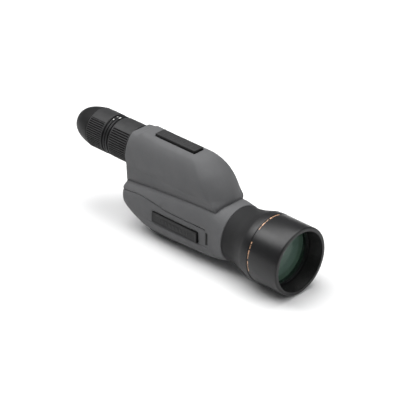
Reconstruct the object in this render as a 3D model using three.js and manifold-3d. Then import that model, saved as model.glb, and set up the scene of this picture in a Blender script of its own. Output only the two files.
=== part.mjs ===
// A compact spotting scope with a folded light path, in millimetres.
// +X points at the target, +Z up. The origin is the middle of the tripod foot's bottom face.
// Everything hangs in one group whose local z = 0 is the objective axis; the eyepiece has its own group.

import * as THREE from 'three';
import { mergeVertices } from 'three/addons/utils/BufferGeometryUtils.js';
import Module from 'manifold-3d';

const wasm = await Module();
wasm.setup();

// ---------------------------------------------------------------- driving dimensions
const GAP = 0.3;                    // clearance between neighbouring pieces
const AXIS_HEIGHT = 39;             // objective axis above the foot's bottom face
const EYE_RISE = 47.4;              // eyepiece axis above the objective axis
const RIM_X = 177;                  // front rim of the bell
const BELL_R = 37.5;                // outer radius of the bell
const NECK_R = 30.7;                // outer radius of the barrel where it enters the body
const BODY_FRONT_X = 95;            // where the armour meets the barrel
const BODY_REAR_X = -52.5;          // flat rear of the body
const EYECUP_X = -139;              // rear lip of the eyecup
const EYEPIECE_R = 22.5;            // outer radius of the eyepiece grips
const ARMOUR = 2.2;                 // rubber armour thickness
const SHELL_OUT = ARMOUR + GAP;     // depth of the metal housing's outside below the armour's outside
const SHELL_IN = 5;                 // depth of the housing's inside
const RIDGE_Z = 73.2;               // top of the prism hump above the objective axis
const HUMP_SIDE = 23.9;             // half width of the hump
const PAD_PROUD = 2.8;              // how far the top pad stands above the ridge
const FOLD = EYE_RISE / 2;          // each prism lifts the light path this much
const BEAM = 10;                    // half the height of a prism's light window
const REAR_PRISM_X = -12;           // window faces of the two prisms
const FRONT_PRISM_X = 30;
const BULKHEAD_X = 8;               // rear face of the bulkhead that carries prisms and rods
const BULKHEAD = 3;
const FOOT_LONG = 30;
const FOOT_WIDE = 28;
const SOCKET_R = 3.175;             // 1/4-20 tripod thread, major radius
const SOCKET_X = 6;
const PIN_HOLE_X = -9;              // anti-twist pin hole beside the thread
const EYEPIECE_X = BODY_REAR_X - GAP;
const ZOOM_X = -86.3;               // front end of the zoom ring
const ZOOM_SEAT_X = -90.6;          // front end of the step under the zoom ring's grip
const SEAM_X = -115;                // seam between the zoom ring and the eyecup
const ZOOM_TURN = THREE.MathUtils.degToRad(120);
const FRONT_ZOOM_TRAVEL = 12;
const REAR_ZOOM_TRAVEL = 5;
const FOCUS_TRAVEL = 4;             // each way
const FOLLOWER_R = 1;

// Facets round a turned piece, by its size
const ROUND_BIG = 32;
const ROUND = 24;
const ROUND_SMALL = 16;
const ROUND_TINY = 8;

// ---------------------------------------------------------------- solids from three.js geometry
function toSolid(geometry) {
  const bare = geometry.clone();
  for (const name of Object.keys(bare.attributes)) {
    if (name !== 'position') bare.deleteAttribute(name);
  }
  const merged = mergeVertices(bare, 1e-4);
  const points = merged.getAttribute('position');
  const corner = (i) => new THREE.Vector3().fromBufferAttribute(points, i);
  const faces = [];
  let volume = 0;
  for (let i = 0; i < merged.index.count; i += 3) {
    const [a, b, c] = [0, 1, 2].map((step) => merged.index.getX(i + step));
    if (a === b || b === c || c === a) continue;
    faces.push([a, b, c]);
    volume += corner(a).dot(corner(b).cross(corner(c)));
  }
  const outward = volume < 0 ? faces.map(([a, b, c]) => [a, c, b]) : faces;
  return new wasm.Manifold(new wasm.Mesh({
    numProp: 3,
    vertProperties: Float32Array.from(points.array),
    triVerts: Uint32Array.from(outward.flat()),
  }));
}

function toGeometry(solid) {
  const mesh = solid.getMesh();
  const geometry = new THREE.BufferGeometry();
  geometry.setAttribute('position', new THREE.Float32BufferAttribute(mesh.vertProperties, 3));
  geometry.setIndex(Array.from(mesh.triVerts));
  geometry.computeVertexNormals();
  return geometry;
}

// A profile of [x, radius] points turned about the X axis. It starts and ends on the axis,
// or closes on itself.
function turned(profile, segments = ROUND) {
  const points = profile.map(([x, r]) => new THREE.Vector2(r, x));
  const onAxis = points[0].x === 0;
  if (!onAxis) points.push(points[0].clone());
  return toSolid(new THREE.LatheGeometry(points, segments).rotateZ(-Math.PI / 2));
}

const tube = (x0, x1, inner, outer, segments) =>
  turned([[x0, inner], [x0, outer], [x1, outer], [x1, inner]], segments);

const rod = (x0, x1, radius, segments = ROUND_SMALL) =>
  turned([[x0, 0], [x0, radius], [x1, radius], [x1, 0]], segments);

function block(x0, x1, y0, y1, z0, z1) {
  const box = new THREE.BoxGeometry(x1 - x0, y1 - y0, z1 - z0);
  return toSolid(box.translate((x0 + x1) / 2, (y0 + y1) / 2, (z0 + z1) / 2));
}

// An outline in the (y, z) plane pushed along X.
function alongX(outline, x0, x1, bend = (geometry) => geometry) {
  const turn = new THREE.Matrix4().makeBasis(
    new THREE.Vector3(0, 1, 0), new THREE.Vector3(0, 0, 1), new THREE.Vector3(1, 0, 0));
  const depth = x1 - x0;
  const geometry = new THREE.ExtrudeGeometry(new THREE.Shape(outline), { depth, bevelEnabled: false });
  return toSolid(bend(geometry.applyMatrix4(turn).translate(x0, 0, 0)));
}

// An outline in the (x, z) plane pushed across Y, half of it to each side.
function acrossY(outline, halfWidth, steps = 1, bend = (geometry) => geometry) {
  const turn = new THREE.Matrix4().makeBasis(
    new THREE.Vector3(1, 0, 0), new THREE.Vector3(0, 0, 1), new THREE.Vector3(0, -1, 0));
  const depth = 2 * halfWidth;
  const geometry = new THREE.ExtrudeGeometry(new THREE.Shape(outline), { depth, steps, bevelEnabled: false });
  return toSolid(bend(geometry.applyMatrix4(turn).translate(0, halfWidth, 0)));
}

const vertical = (solid) => solid.rotate([0, -90, 0]);       // X up to +Z
const sideways = (solid) => solid.rotate([0, 0, 90]);        // X round to +Y
const corners = (...pairs) => pairs.map(([x, y]) => new THREE.Vector2(x, y));

// The outline moved inward by a depth, edge by edge. Its corners run anticlockwise.
function inset(outline, depth) {
  const count = outline.length;
  const inwardLine = (i) => {
    const from = outline[i % count];
    const along = outline[(i + 1) % count].clone().sub(from).normalize();
    const normal = new THREE.Vector2(-along.y, along.x);
    return { point: from.clone().addScaledVector(normal, depth), along };
  };
  return outline.map((_, i) => {
    const before = inwardLine(i + count - 1);
    const after = inwardLine(i);
    const across = before.along.cross(after.along);
    const between = after.point.clone().sub(before.point);
    const reach = Math.abs(across) < 1e-6 ? between.dot(before.along) : between.cross(after.along) / across;
    return before.point.addScaledVector(before.along, reach);
  });
}

// ---------------------------------------------------------------- the body's outer form
// The lower body's sections: a rounded rectangle of half width side, reaching up and down from the
// objective axis. A squareness of 2 is an ellipse.
const LOWER_SECTIONS = [
  { x: BODY_FRONT_X, side: 31.5, up: 31.5, down: 31.5, square: 2 },
  { x: 89, side: 31.2, up: 31.5, down: 32, square: 2.2 },
  { x: 79, side: 30, up: 31, down: 33, square: 2.9 },
  { x: 60, side: 30.2, up: 30.2, down: 33.6, square: 3 },
  { x: 30, side: 31, up: 27.5, down: 34, square: 3.1 },
  { x: -16, side: 31.2, up: 22.8, down: 33.5, square: 3.1 },
  { x: -34, side: 31.2, up: 21.5, down: 28.8, square: 2.65 },
  { x: -44, side: 31, up: 20.6, down: 23.4, square: 2.45 },
  { x: -49.5, side: 30, up: 19.6, down: 18.8, square: 2.4 },
  { x: BODY_REAR_X, side: 27.8, up: 18.4, down: 15.4, square: 2.4 },
];
const LOWER_SEGMENTS = 24;

function lowerBody(depth) {
  const rows = LOWER_SECTIONS.length - 1;
  const form = new THREE.CylinderGeometry(1, 1, 1, LOWER_SEGMENTS, rows);
  const points = form.getAttribute('position');
  for (let i = 0; i < points.count; i += 1) {
    const section = LOWER_SECTIONS[Math.round((0.5 - points.getY(i)) * rows)];
    const angle = Math.atan2(points.getZ(i), points.getX(i));
    const reach = Math.hypot(points.getX(i), points.getZ(i));
    const power = 2 / section.square;
    const across = Math.sign(Math.cos(angle)) * Math.abs(Math.cos(angle)) ** power;
    const upward = Math.sign(Math.sin(angle)) * Math.abs(Math.sin(angle)) ** power;
    const middle = (section.up - section.down) / 2;
    const tall = (section.up + section.down) / 2 - depth;
    points.setXYZ(
      i,
      THREE.MathUtils.clamp(section.x, BODY_REAR_X + depth, BODY_FRONT_X - depth),
      reach * across * (section.side - depth),
      middle + reach * upward * tall,
    );
  }
  return toSolid(form);
}

const HUMP_BASE_Z = -5;             // hidden inside the lower body
const HUMP_MIDDLE_Z = 44.3;         // middle of the hump's upright oval
const HUMP_TALL = 32;               // half height of that oval, before the ridge cuts its top off
const HUMP_WAIST = 22.6;            // half width where the hump meets the lower body
const NOSE = [                      // the hump's nose in the middle plane, in (x, z), foot first
  [84.6, 20], [82.4, 33.5], [77.6, 44.3], [68.3, 57.1], [56.2, 66.6], [47.9, 71.4], [36, RIDGE_Z],
];
const NOSE_BOW = [0.0095, 0.0215];   // how fast the nose falls back to each side, per mm squared,
const NOSE_BOW_Z = [28, 38];        // at its foot and at its middle
const NOSE_BOW_X = [30, 50];        // the bow fades in between these stations
const NOSE_STEPS = 8;               // facets across the nose
const RIDGE_REAR_X = -38;           // rear end of the ridge
const DIP = [-42.5, 70.4];           // shallow dip between the ridge and the collar round the eyepiece
const COLLAR_TOP_Z = 70.5;
const COLLAR_START_X = -42;         // behind this the hump narrows to the collar
const COLLAR_SHARE = 0.9;           // the collar's height above the hump's middle, as a share

function humpSection() {
  const outline = new THREE.Shape();
  const low = -Math.acos(HUMP_WAIST / HUMP_SIDE);
  const high = Math.asin((RIDGE_Z - HUMP_MIDDLE_Z) / HUMP_TALL);
  outline.moveTo(-HUMP_WAIST, HUMP_BASE_Z);
  outline.lineTo(HUMP_WAIST, HUMP_BASE_Z);
  outline.absellipse(0, HUMP_MIDDLE_Z, HUMP_SIDE, HUMP_TALL, low, high, false);
  outline.absellipse(0, HUMP_MIDDLE_Z, HUMP_SIDE, HUMP_TALL, Math.PI - high, Math.PI - low, false);
  return tidyOutline(outline.getPoints(6));
}

function humpSideProfile() {
  const outline = new THREE.Shape();
  const [foot, ...slope] = corners(...NOSE);
  outline.moveTo(BODY_REAR_X, HUMP_BASE_Z);
  outline.lineTo(foot.x, HUMP_BASE_Z);
  outline.lineTo(foot.x, foot.y);
  outline.splineThru(slope);
  outline.lineTo(RIDGE_REAR_X, RIDGE_Z);
  outline.lineTo(DIP[0], DIP[1]);
  outline.lineTo(BODY_REAR_X, COLLAR_TOP_Z);
  return tidyOutline(outline.getPoints(3));
}

// The side profile pushed across, with its nose bowed back towards both sides.
function bowedProfile(depth) {
  const halfWidth = HUMP_SIDE + 1;
  const share = (value, [from, to]) => THREE.MathUtils.clamp((value - from) / (to - from), 0, 1);
  const bow = (geometry) => {
    const points = geometry.getAttribute('position');
    for (let i = 0; i < points.count; i += 1) {
      const rate = THREE.MathUtils.lerp(...NOSE_BOW, share(points.getZ(i), NOSE_BOW_Z));
      const back = share(points.getX(i), NOSE_BOW_X) * rate * points.getY(i) ** 2;
      points.setX(i, points.getX(i) - back);
    }
    return geometry;
  };
  return acrossY(inset(humpSideProfile(), depth), halfWidth, NOSE_STEPS, bow);
}

// Drops points that repeat the one before them.
function tidyOutline(points) {
  return points.filter((point, i) => point.distanceTo(points[(i + 1) % points.length]) > 1e-3);
}

// Lowers the rear end of the hump's section to the collar's height.
function narrowRear(geometry) {
  const points = geometry.getAttribute('position');
  for (let i = 0; i < points.count; i += 1) {
    const above = points.getZ(i) - HUMP_MIDDLE_Z;
    if (points.getX(i) < BODY_REAR_X && above > 0) points.setZ(i, HUMP_MIDDLE_Z + COLLAR_SHARE * above);
  }
  return geometry;
}

function bodyForm(depth) {
  const outline = inset(humpSection(), depth);
  const hump = alongX(outline, COLLAR_START_X, NOSE[0][0] + 1)
    .add(alongX(outline, BODY_REAR_X - 1, COLLAR_START_X, narrowRear));
  return lowerBody(depth).add(hump.intersect(bowedProfile(depth)));
}

const armourInside = bodyForm(ARMOUR);
const shellOutside = bodyForm(SHELL_OUT);
const shellInside = bodyForm(SHELL_IN);

// ---------------------------------------------------------------- places shared by several pieces
const SPIGOT_R = 25.5;              // barrel spigot in the housing's front bore
const EYE_SPIGOT_R = 16;            // eyepiece spigot in the rear wall
const BUSHING_R = 4.4;
const SHAFT_R = 2.6;
const FLOOR_Z = -24;                 // top of the thick floor over the tripod foot
const FOOT_SCREWS = [[11.8, 9.8], [-11.8, -9.8]];
const PURGE_X = 50;
const RODS = [-17, 17];             // guide rods, left and right of the light path
const ROD_Z = 0;
const ROD_R = 1.5;
const BULKHEAD_SCREWS = [[-21.5, -12], [21.5, -12], [0, 63.5]];
const CELL_SCREW_Y = 12.2;
const CLIP_SCREW_Y = 11.6;
const CELL_Z = 1.5 * FOLD;
const TOP_PAD = { x0: -23.5, x1: 34, half: 6.8, z0: 60, z1: RIDGE_Z + PAD_PROUD };
const SIDE_PAD = { x0: -5, x1: 60.7, z0: -13.3, z1: -1, face: 32.2 };
const PLINTH = { x0: -27, heelX: -18, x1: 17.5, half: 18.3, z0: -36.2, heelZ: -32.4, z1: -26 };

const footBlock = (grow) => block(
  -FOOT_LONG / 2 - grow, FOOT_LONG / 2 + grow,
  -FOOT_WIDE / 2 - grow, FOOT_WIDE / 2 + grow,
  -AXIS_HEIGHT, FLOOR_Z);

const topPadBlock = (grow) => block(
  TOP_PAD.x0 - grow, TOP_PAD.x1 + grow,
  -TOP_PAD.half - grow, TOP_PAD.half + grow,
  TOP_PAD.z0, TOP_PAD.z1);

function sidePadBlock(side, grow) {
  const [near, far] = side > 0 ? [20, SIDE_PAD.face] : [-SIDE_PAD.face, -20];
  return block(SIDE_PAD.x0 - grow, SIDE_PAD.x1 + grow, near, far, SIDE_PAD.z0 - grow, SIDE_PAD.z1 + grow);
}

// ---------------------------------------------------------------- casing
// The raised part of the armour that surrounds the tripod foot.
function plinth() {
  const { x0, heelX, x1, z0, heelZ, z1 } = PLINTH;
  return acrossY(corners([x0, z1], [x0, heelZ], [heelX, z0], [x1, z0], [x1, z1]), PLINTH.half);
}

function rubberArmour() {
  return bodyForm(0)
    .add(plinth())
    .subtract(armourInside)
    .subtract(rod(BODY_FRONT_X - 10, BODY_FRONT_X + 1, SPIGOT_R + 1, ROUND_BIG))
    .subtract(rod(BODY_REAR_X - 1, BODY_REAR_X + 4, EYE_SPIGOT_R + 1).translate([0, 0, EYE_RISE]))
    .subtract(rod(BODY_REAR_X - 1, BODY_REAR_X + 4, BUSHING_R + GAP))
    .subtract(footBlock(GAP))
    .subtract(topPadBlock(GAP))
    .subtract(sidePadBlock(1, GAP))
    .subtract(sidePadBlock(-1, GAP))
    .subtract(vertical(rod(-40, -20, 3.3)).translate([PURGE_X, 0, 0]));
}

function mainHousing() {
  const frontWallX = 84;
  const bossX = BULKHEAD_X + BULKHEAD + GAP;
  const bosses = BULKHEAD_SCREWS.map(([y, z]) => block(bossX, bossX + 6, y - 5, y + 5, z - 5, z + 9));
  const sideBosses = bosses.slice(0, 2).map((boss, i) => boss.translate([0, i === 0 ? -3 : 3, -4]));
  const floor = block(-17, 17, -16, 16, -AXIS_HEIGHT, FLOOR_Z);
  const filled = [floor, ...sideBosses, bosses[2]];
  const room = filled.reduce(
    (space, piece) => space.subtract(piece),
    shellInside.intersect(block(-100, frontWallX, -60, 60, -60, 100)),
  );
  let housing = shellOutside
    .subtract(room)
    .subtract(rod(frontWallX - 5, BODY_FRONT_X, SPIGOT_R + GAP, ROUND_BIG))
    .subtract(rod(BODY_REAR_X, BODY_REAR_X + 8, EYE_SPIGOT_R + GAP).translate([0, 0, EYE_RISE]))
    .subtract(rod(BODY_REAR_X, BODY_REAR_X + 8, BUSHING_R + GAP))
    .subtract(vertical(rod(-40, -20, 1.8, ROUND_TINY)).translate([PURGE_X, 0, 0]));
  for (const y of RODS) {
    housing = housing.subtract(rod(-49, -40, ROD_R + GAP, ROUND_TINY).translate([0, y, ROD_Z]));
  }
  for (const [y, z] of BULKHEAD_SCREWS) {
    housing = housing.subtract(rod(bossX - 1, bossX + 5, 1.3, ROUND_TINY).translate([0, y, z]));
  }
  for (const [x, y] of FOOT_SCREWS) {
    housing = housing.subtract(vertical(rod(-34, -25.5, 1.6, ROUND_TINY)).translate([x, y, 0]));
  }
  return housing;
}

const topPad = () => topPadBlock(0).subtract(armourInside);
const sidePad = (side) => sidePadBlock(side, 0).subtract(armourInside);

function tripodFoot() {
  let foot = footBlock(0)
    .subtract(armourInside)
    .subtract(vertical(rod(-AXIS_HEIGHT - 1, -30, SOCKET_R, ROUND)).translate([SOCKET_X, 0, 0]))
    .subtract(vertical(rod(-AXIS_HEIGHT - 1, -AXIS_HEIGHT + 4, 2.1)).translate([PIN_HOLE_X, 0, 0]));
  for (const [x, y] of FOOT_SCREWS) {
    foot = foot
      .subtract(vertical(rod(-AXIS_HEIGHT - 1, -36.3, 2.7, ROUND_TINY)).translate([x, y, 0]))
      .subtract(vertical(rod(-AXIS_HEIGHT, -30, 1.6, ROUND_TINY)).translate([x, y, 0]));
  }
  return foot;
}

// A cap screw pointing along +X: head radius and length, then shank radius and length, head first.
function capScrew(headR, headLong, shankR, shankLong) {
  const tip = headLong + shankLong;
  return turned([
    [0, 0], [0, headR], [headLong, headR], [headLong, shankR], [tip, shankR], [tip, 0],
  ], ROUND_TINY);
}

// ---------------------------------------------------------------- objective
const HOOD_R = 33.1;                // inside of the hood in front of the lenses
const LENS_SEAT_R = 32.8;
const LENS_R = 32.4;

function objectiveBarrel() {
  const seatX = 142.2;
  const hoodX = 159.5;
  const outside = [
    [RIM_X, HOOD_R], [RIM_X, BELL_R - 0.8], [RIM_X - 0.8, BELL_R],
    [134.5, BELL_R], [129, 37.2], [122.8, 35.5], [113, 32.4], [104, 31],
    [BODY_FRONT_X + GAP, NECK_R], [BODY_FRONT_X + GAP, SPIGOT_R], [90.2, SPIGOT_R], [90.2, 24.2], [88, 24.2],
    [88, SPIGOT_R], [80, SPIGOT_R],
  ];
  const inside = [
    [80, 20.5], [112, 23.5], [112, 25.5], [seatX, 28.5], [seatX, LENS_SEAT_R], [hoodX, LENS_SEAT_R],
    [hoodX, HOOD_R],
  ];
  return turned([...outside, ...inside], ROUND_BIG);
}

const sag = (radius, edge, bulge) => [0, 0.4, 0.75, 1].map((r) => [edge + bulge * (1 - r * r), r * radius]);

// A lens between two edge stations. A positive bulge is convex.
function lens(frontEdge, rearEdge, radius, frontBulge, rearBulge, segments = ROUND_SMALL) {
  const front = sag(radius, frontEdge, frontBulge);
  const rear = sag(radius, rearEdge, -rearBulge).reverse();
  return turned([...front, ...rear], segments);
}

const objectiveFrontLens = () => lens(155.5, 151.5, LENS_R, 3, 2.5, ROUND_BIG);
const objectiveRearLens = () => lens(149.4, 142.5, LENS_R, -2.5, 0.6, ROUND_BIG);
const objectiveSpacer = () => tube(149.7, 151.2, 31, LENS_R, ROUND_BIG);
const objectiveRetainer = () => tube(155.8, 159.2, 31.2, LENS_R, ROUND_BIG);
const barrelBaffle = () => tube(112.3, 113.5, 20.5, 25.1);
const barrelSeal = () => tube(88.3, 89.9, 24.5, 25.6);

// ---------------------------------------------------------------- prisms and focusing
const PRISM_HALF = FOLD / 2 + BEAM;         // half the height of a prism's window face
const PRISM_WIDE = 10;                      // half its width
const CELL_WALL = 2.6;

// A right-angle prism standing on its window face. way is -1 when its apex points to the rear.
function prismOutline(faceX, middleZ, way, grow) {
  const half = PRISM_HALF + grow * 2.4;
  const low = [faceX, middleZ - half];
  const high = [faceX, middleZ + half];
  const apex = [faceX + way * half, middleZ];
  return corners(...(way > 0 ? [low, apex, high] : [high, apex, low]));
}

const prismPocket = (faceX, middleZ, way) =>
  acrossY(prismOutline(faceX - way * GAP, middleZ, way, GAP), PRISM_WIDE + GAP);

// The block that a prism sits in, before its pocket is cut.
function prismCell(faceX, middleZ, way) {
  const half = PRISM_HALF + CELL_WALL;
  const shoulder = 5;
  const back = half + CELL_WALL;
  const shoulderX = faceX + way * shoulder;
  const backX = faceX + way * back;
  const edge = [
    [faceX, middleZ - half], [shoulderX, middleZ - half], [backX, middleZ - shoulder],
    [backX, middleZ + shoulder], [shoulderX, middleZ + half], [faceX, middleZ + half],
  ];
  const outline = corners(...(way > 0 ? edge : edge.reverse()));
  return acrossY(outline, PRISM_WIDE + GAP + CELL_WALL);
}

function prismCarriage() {
  const earX = REAR_PRISM_X - 12;
  let carriage = prismCell(REAR_PRISM_X, FOLD / 2, -1)
    .add(block(-39.6, -26, -5, 5, -5, 5))
    .subtract(prismPocket(REAR_PRISM_X, FOLD / 2, -1))
    .subtract(rod(-43, -29.5, SHAFT_R + GAP));
  for (const y of RODS) {
    const ear = block(earX, REAR_PRISM_X, Math.min(y, 0.7 * y), Math.max(y, 0.7 * y), ROD_Z - 4, ROD_Z + 4);
    const eye = rod(earX, REAR_PRISM_X, ROD_R + 2.2, ROUND_TINY).translate([0, y, ROD_Z]);
    const bore = rod(earX - 1, REAR_PRISM_X + 1, ROD_R + GAP, ROUND_TINY).translate([0, y, ROD_Z]);
    carriage = carriage.add(ear).add(eye).subtract(bore);
    const clipHole = rod(REAR_PRISM_X - 5, REAR_PRISM_X + 1, 0.9, ROUND_TINY);
    carriage = carriage.subtract(clipHole.translate([0, Math.sign(y) * CLIP_SCREW_Y, FOLD / 2]));
  }
  return carriage;
}

const rearPrism = () => acrossY(prismOutline(REAR_PRISM_X, FOLD / 2, -1, 0), PRISM_WIDE);
const frontPrism = () => acrossY(prismOutline(FRONT_PRISM_X, CELL_Z, 1, 0), PRISM_WIDE);

function rearPrismClip() {
  const x0 = REAR_PRISM_X + GAP;
  let clip = block(x0, x0 + 1, -12.8, 12.8, FOLD / 2 - 2.5, FOLD / 2 + 2.5);
  for (const side of [-1, 1]) {
    clip = clip.subtract(rod(x0 - 1, x0 + 2, 0.9, ROUND_TINY).translate([0, side * CLIP_SCREW_Y, FOLD / 2]));
  }
  return clip;
}

function frontPrismCell() {
  const railX = BULKHEAD_X + BULKHEAD + GAP;
  let cell = prismCell(FRONT_PRISM_X, CELL_Z, 1).subtract(prismPocket(FRONT_PRISM_X, CELL_Z, 1));
  for (const side of [-1, 1]) {
    const [near, far] = side > 0 ? [10.3, 14.1] : [-14.1, -10.3];
    cell = cell
      .add(block(railX, FRONT_PRISM_X + 6, near, far, CELL_Z - 4.5, CELL_Z + 4.5))
      .subtract(rod(railX - 1, railX + 6, 1.2, ROUND_TINY).translate([0, side * CELL_SCREW_Y, CELL_Z]));
  }
  return cell;
}

const frontPrismSpring = () => block(
  FRONT_PRISM_X - GAP - 1, FRONT_PRISM_X - GAP, -PRISM_WIDE, PRISM_WIDE, CELL_Z - 2, CELL_Z + 2);

function prismBulkhead() {
  const x1 = BULKHEAD_X + BULKHEAD;
  let plate = bodyForm(SHELL_IN + GAP).intersect(block(BULKHEAD_X, x1, -60, 60, FLOOR_Z + GAP, 100));
  const windows = [[0, 13.2], [FOLD, 9], [EYE_RISE, 10.5]];
  for (const [z, radius] of windows) {
    plate = plate.subtract(rod(BULKHEAD_X - 1, x1 + 1, radius).translate([0, 0, z]));
  }
  for (const y of RODS) {
    plate = plate.subtract(rod(BULKHEAD_X - 1, x1 + 1, ROD_R + GAP, ROUND_TINY).translate([0, y, ROD_Z]));
  }
  const screws = [...BULKHEAD_SCREWS, [-CELL_SCREW_Y, CELL_Z], [CELL_SCREW_Y, CELL_Z]];
  for (const [y, z] of screws) {
    plate = plate.subtract(rod(BULKHEAD_X - 1, x1 + 1, 1.3, ROUND_TINY).translate([0, y, z]));
  }
  return plate;
}

const guideRod = () => rod(-48.7, BULKHEAD_X + BULKHEAD - 0.5, ROD_R, ROUND_TINY);

function focusBushing() {
  const flangeX = BODY_REAR_X - GAP;
  return turned([
    [flangeX - 1.5, SHAFT_R + GAP], [flangeX - 1.5, 6.5], [flangeX, 6.5], [flangeX, BUSHING_R],
    [-46, BUSHING_R], [-46, SHAFT_R + GAP], [-49.2, SHAFT_R + GAP], [-49.2, 3.8], [-50.8, 3.8],
    [-50.8, SHAFT_R + GAP],
  ], ROUND_SMALL);
}

const focusSeal = () => tube(-50.5, -49.5, SHAFT_R + GAP, 3.5, ROUND_SMALL);

const focusShaft = () => turned([
  [-62, 0], [-62, SHAFT_R], [-45.7, SHAFT_R], [-45.7, 4.2],
  [-44.2, 4.2], [-44.2, SHAFT_R], [-34, SHAFT_R], [-34, 0],
], ROUND_SMALL);

const KNOB_FRONT_X = -54.7;
const KNOB_REAR_X = -63.7;
const KNOB_R = 11.7;
const KNOB_GRIP_R = 14;

function focusKnob() {
  return turned([
    [KNOB_REAR_X, 0], [KNOB_REAR_X, KNOB_R - 1.7], [KNOB_REAR_X + 1.2, KNOB_R], [KNOB_FRONT_X, KNOB_R],
    [KNOB_FRONT_X, SHAFT_R + GAP], [-62.3, SHAFT_R + GAP], [-62.3, 0],
  ]).subtract(vertical(rod(-12, -1, 1.3, ROUND_TINY)).translate([-58.5, 0, 0]));
}

const focusKnobGrip = () => tube(-62.3, -55, KNOB_R + GAP, KNOB_GRIP_R);
const focusSetScrew = () => vertical(rod(-9, -3, 1, ROUND_TINY)).translate([-58.5, 0, 0]);

// ---------------------------------------------------------------- eyepiece, about its own axis
const SLEEVE_X = [-112, -72];               // cam sleeve
const BORE_R = 13.1;
const PIN_X = -98;
const KEYWAY_DEEP = 14.2;
const RING_SEAT_R = 18;                     // barrel under the zoom ring
const CUP_SEAT_R = 15.4;                    // barrel under the eyecup
const FRONT_CELL_X = -89;                   // middle of each zoom cell at rest
const REAR_CELL_X = -105;

// A sector cut around the X axis, between two angles measured from +Y towards +Z.
function sectorCutter(x0, x1, inner, outer, from, to) {
  const outline = new THREE.Shape();
  outline.absarc(0, 0, outer, from, to, false);
  outline.absarc(0, 0, inner, to, from, true);
  return alongX(tidyOutline(outline.getPoints(10)), x0, x1);
}

function eyepieceBarrel() {
  const rearX = -127;
  const profile = [
    [-42.5, 10.8], [-42.5, EYE_SPIGOT_R], [-49.8, EYE_SPIGOT_R], [-49.8, 14.8], [-51.6, 14.8],
    [-51.6, EYE_SPIGOT_R], [EYEPIECE_X, EYE_SPIGOT_R], [EYEPIECE_X, 19.8], [ZOOM_X + GAP, 19.8],
    [ZOOM_X + GAP, RING_SEAT_R], [SEAM_X, RING_SEAT_R], [SEAM_X, CUP_SEAT_R], [rearX, CUP_SEAT_R],
    [rearX, BORE_R], [SLEEVE_X[1] + GAP, BORE_R], [SLEEVE_X[1] + GAP, 11.6], [-58, 11.6], [-58, 10.8],
  ];
  const slot = sectorCutter(PIN_X - 1.5, PIN_X + 1.5, 12, RING_SEAT_R + 1, -0.14, ZOOM_TURN + 0.14);
  const keyway = block(-108, -74, -1.4, 1.4, -KEYWAY_DEEP, -BORE_R + 1);
  return turned(profile).subtract(slot).subtract(keyway);
}

const eyepieceLockNut = () => tube(-46.6, -43.6, EYE_SPIGOT_R + GAP, 17.3);
const eyepieceSeal = () => tube(-51.3, -50.1, 15.1, 16.1);
const frontGrip = () => tube(-80.5, EYEPIECE_X - GAP, 19.8 + GAP, EYEPIECE_R, ROUND_BIG);
const indexCollar = () => turned([
  [-85.2, 19.8 + GAP], [-85.2, 22.2], [-82.6, 22.2], [-82.6, 20.9], [-80.8, 20.9], [-80.8, 19.8 + GAP],
], ROUND_BIG);
const fieldLens = () => lens(-60, -64, 11.3, 1.2, 1.2);
const fieldStop = () => tube(-67.5, -65.3, 8.5, 11.3, ROUND_SMALL);
const eyeLens = () => lens(-114.5, -119.5, 12.8, 1.2, 1.6);
const eyeLensRetainer = () => tube(-122.9, -120.2, 11.2, 12.8, ROUND_SMALL);

function zoomRing() {
  const rearX = SEAM_X + GAP;
  return turned([
    [ZOOM_X, RING_SEAT_R + GAP], [ZOOM_X, 22.2], [ZOOM_SEAT_X, 22.2], [ZOOM_SEAT_X, 20.2],
    [rearX, 20.2],
    [rearX, RING_SEAT_R + GAP],
  ], ROUND_BIG).subtract(sideways(rod(17, 21.5, FOLLOWER_R + GAP, ROUND_TINY)).translate([PIN_X, 0, 0]));
}

const zoomGrip = () => tube(SEAM_X + GAP, ZOOM_SEAT_X - GAP, 20.2 + GAP, EYEPIECE_R, ROUND_BIG);
const zoomDrivePin = () => sideways(rod(12, 19.9, FOLLOWER_R, ROUND_TINY)).translate([PIN_X, 0, 0]);

// A slot that winds round the sleeve as its follower's cell travels.
function camSlot(startX, travel) {
  const steps = 12;
  const middleR = 12.25;
  const overrun = 0.14;
  const points = [];
  for (let i = 0; i <= steps; i += 1) {
    const turn = ((ZOOM_TURN + 2 * overrun) * i) / steps - overrun;
    const angle = -Math.PI / 2 - turn;
    const x = startX + (travel * turn) / ZOOM_TURN;
    points.push(new THREE.Vector3(x, middleR * Math.cos(angle), middleR * Math.sin(angle)));
  }
  const section = new THREE.Shape().absarc(0, 0, FOLLOWER_R + 0.6, 0, 2 * Math.PI, false);
  return toSolid(new THREE.ExtrudeGeometry(new THREE.Shape(tidyOutline(section.getPoints(4))), {
    steps,
    bevelEnabled: false,
    extrudePath: new THREE.CatmullRomCurve3(points),
  }));
}

function zoomCamSleeve() {
  return tube(...SLEEVE_X, 11.7, 12.8)
    .subtract(camSlot(FRONT_CELL_X, FRONT_ZOOM_TRAVEL))
    .subtract(camSlot(REAR_CELL_X, REAR_ZOOM_TRAVEL))
    .subtract(sideways(rod(10, 14, FOLLOWER_R + GAP, ROUND_TINY)).translate([PIN_X, 0, 0]));
}

// A lens cell with a follower that reaches through the sleeve into the barrel's keyway.
function zoomCell(middleX) {
  const half = 3.2;
  const follower = vertical(rod(-13.7, -10.6, FOLLOWER_R, ROUND_TINY)).translate([middleX, 0, 0]);
  return turned([
    [middleX - half, 8.6], [middleX - half, 11.4], [middleX + half, 11.4], [middleX + half, 9.9],
    [middleX - half + 1, 9.9], [middleX - half + 1, 8.6],
  ]).add(follower);
}

const zoomLens = (middleX) => lens(middleX + 1.6, middleX - 1.9, 9.6, 1, 0, ROUND_SMALL);

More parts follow.
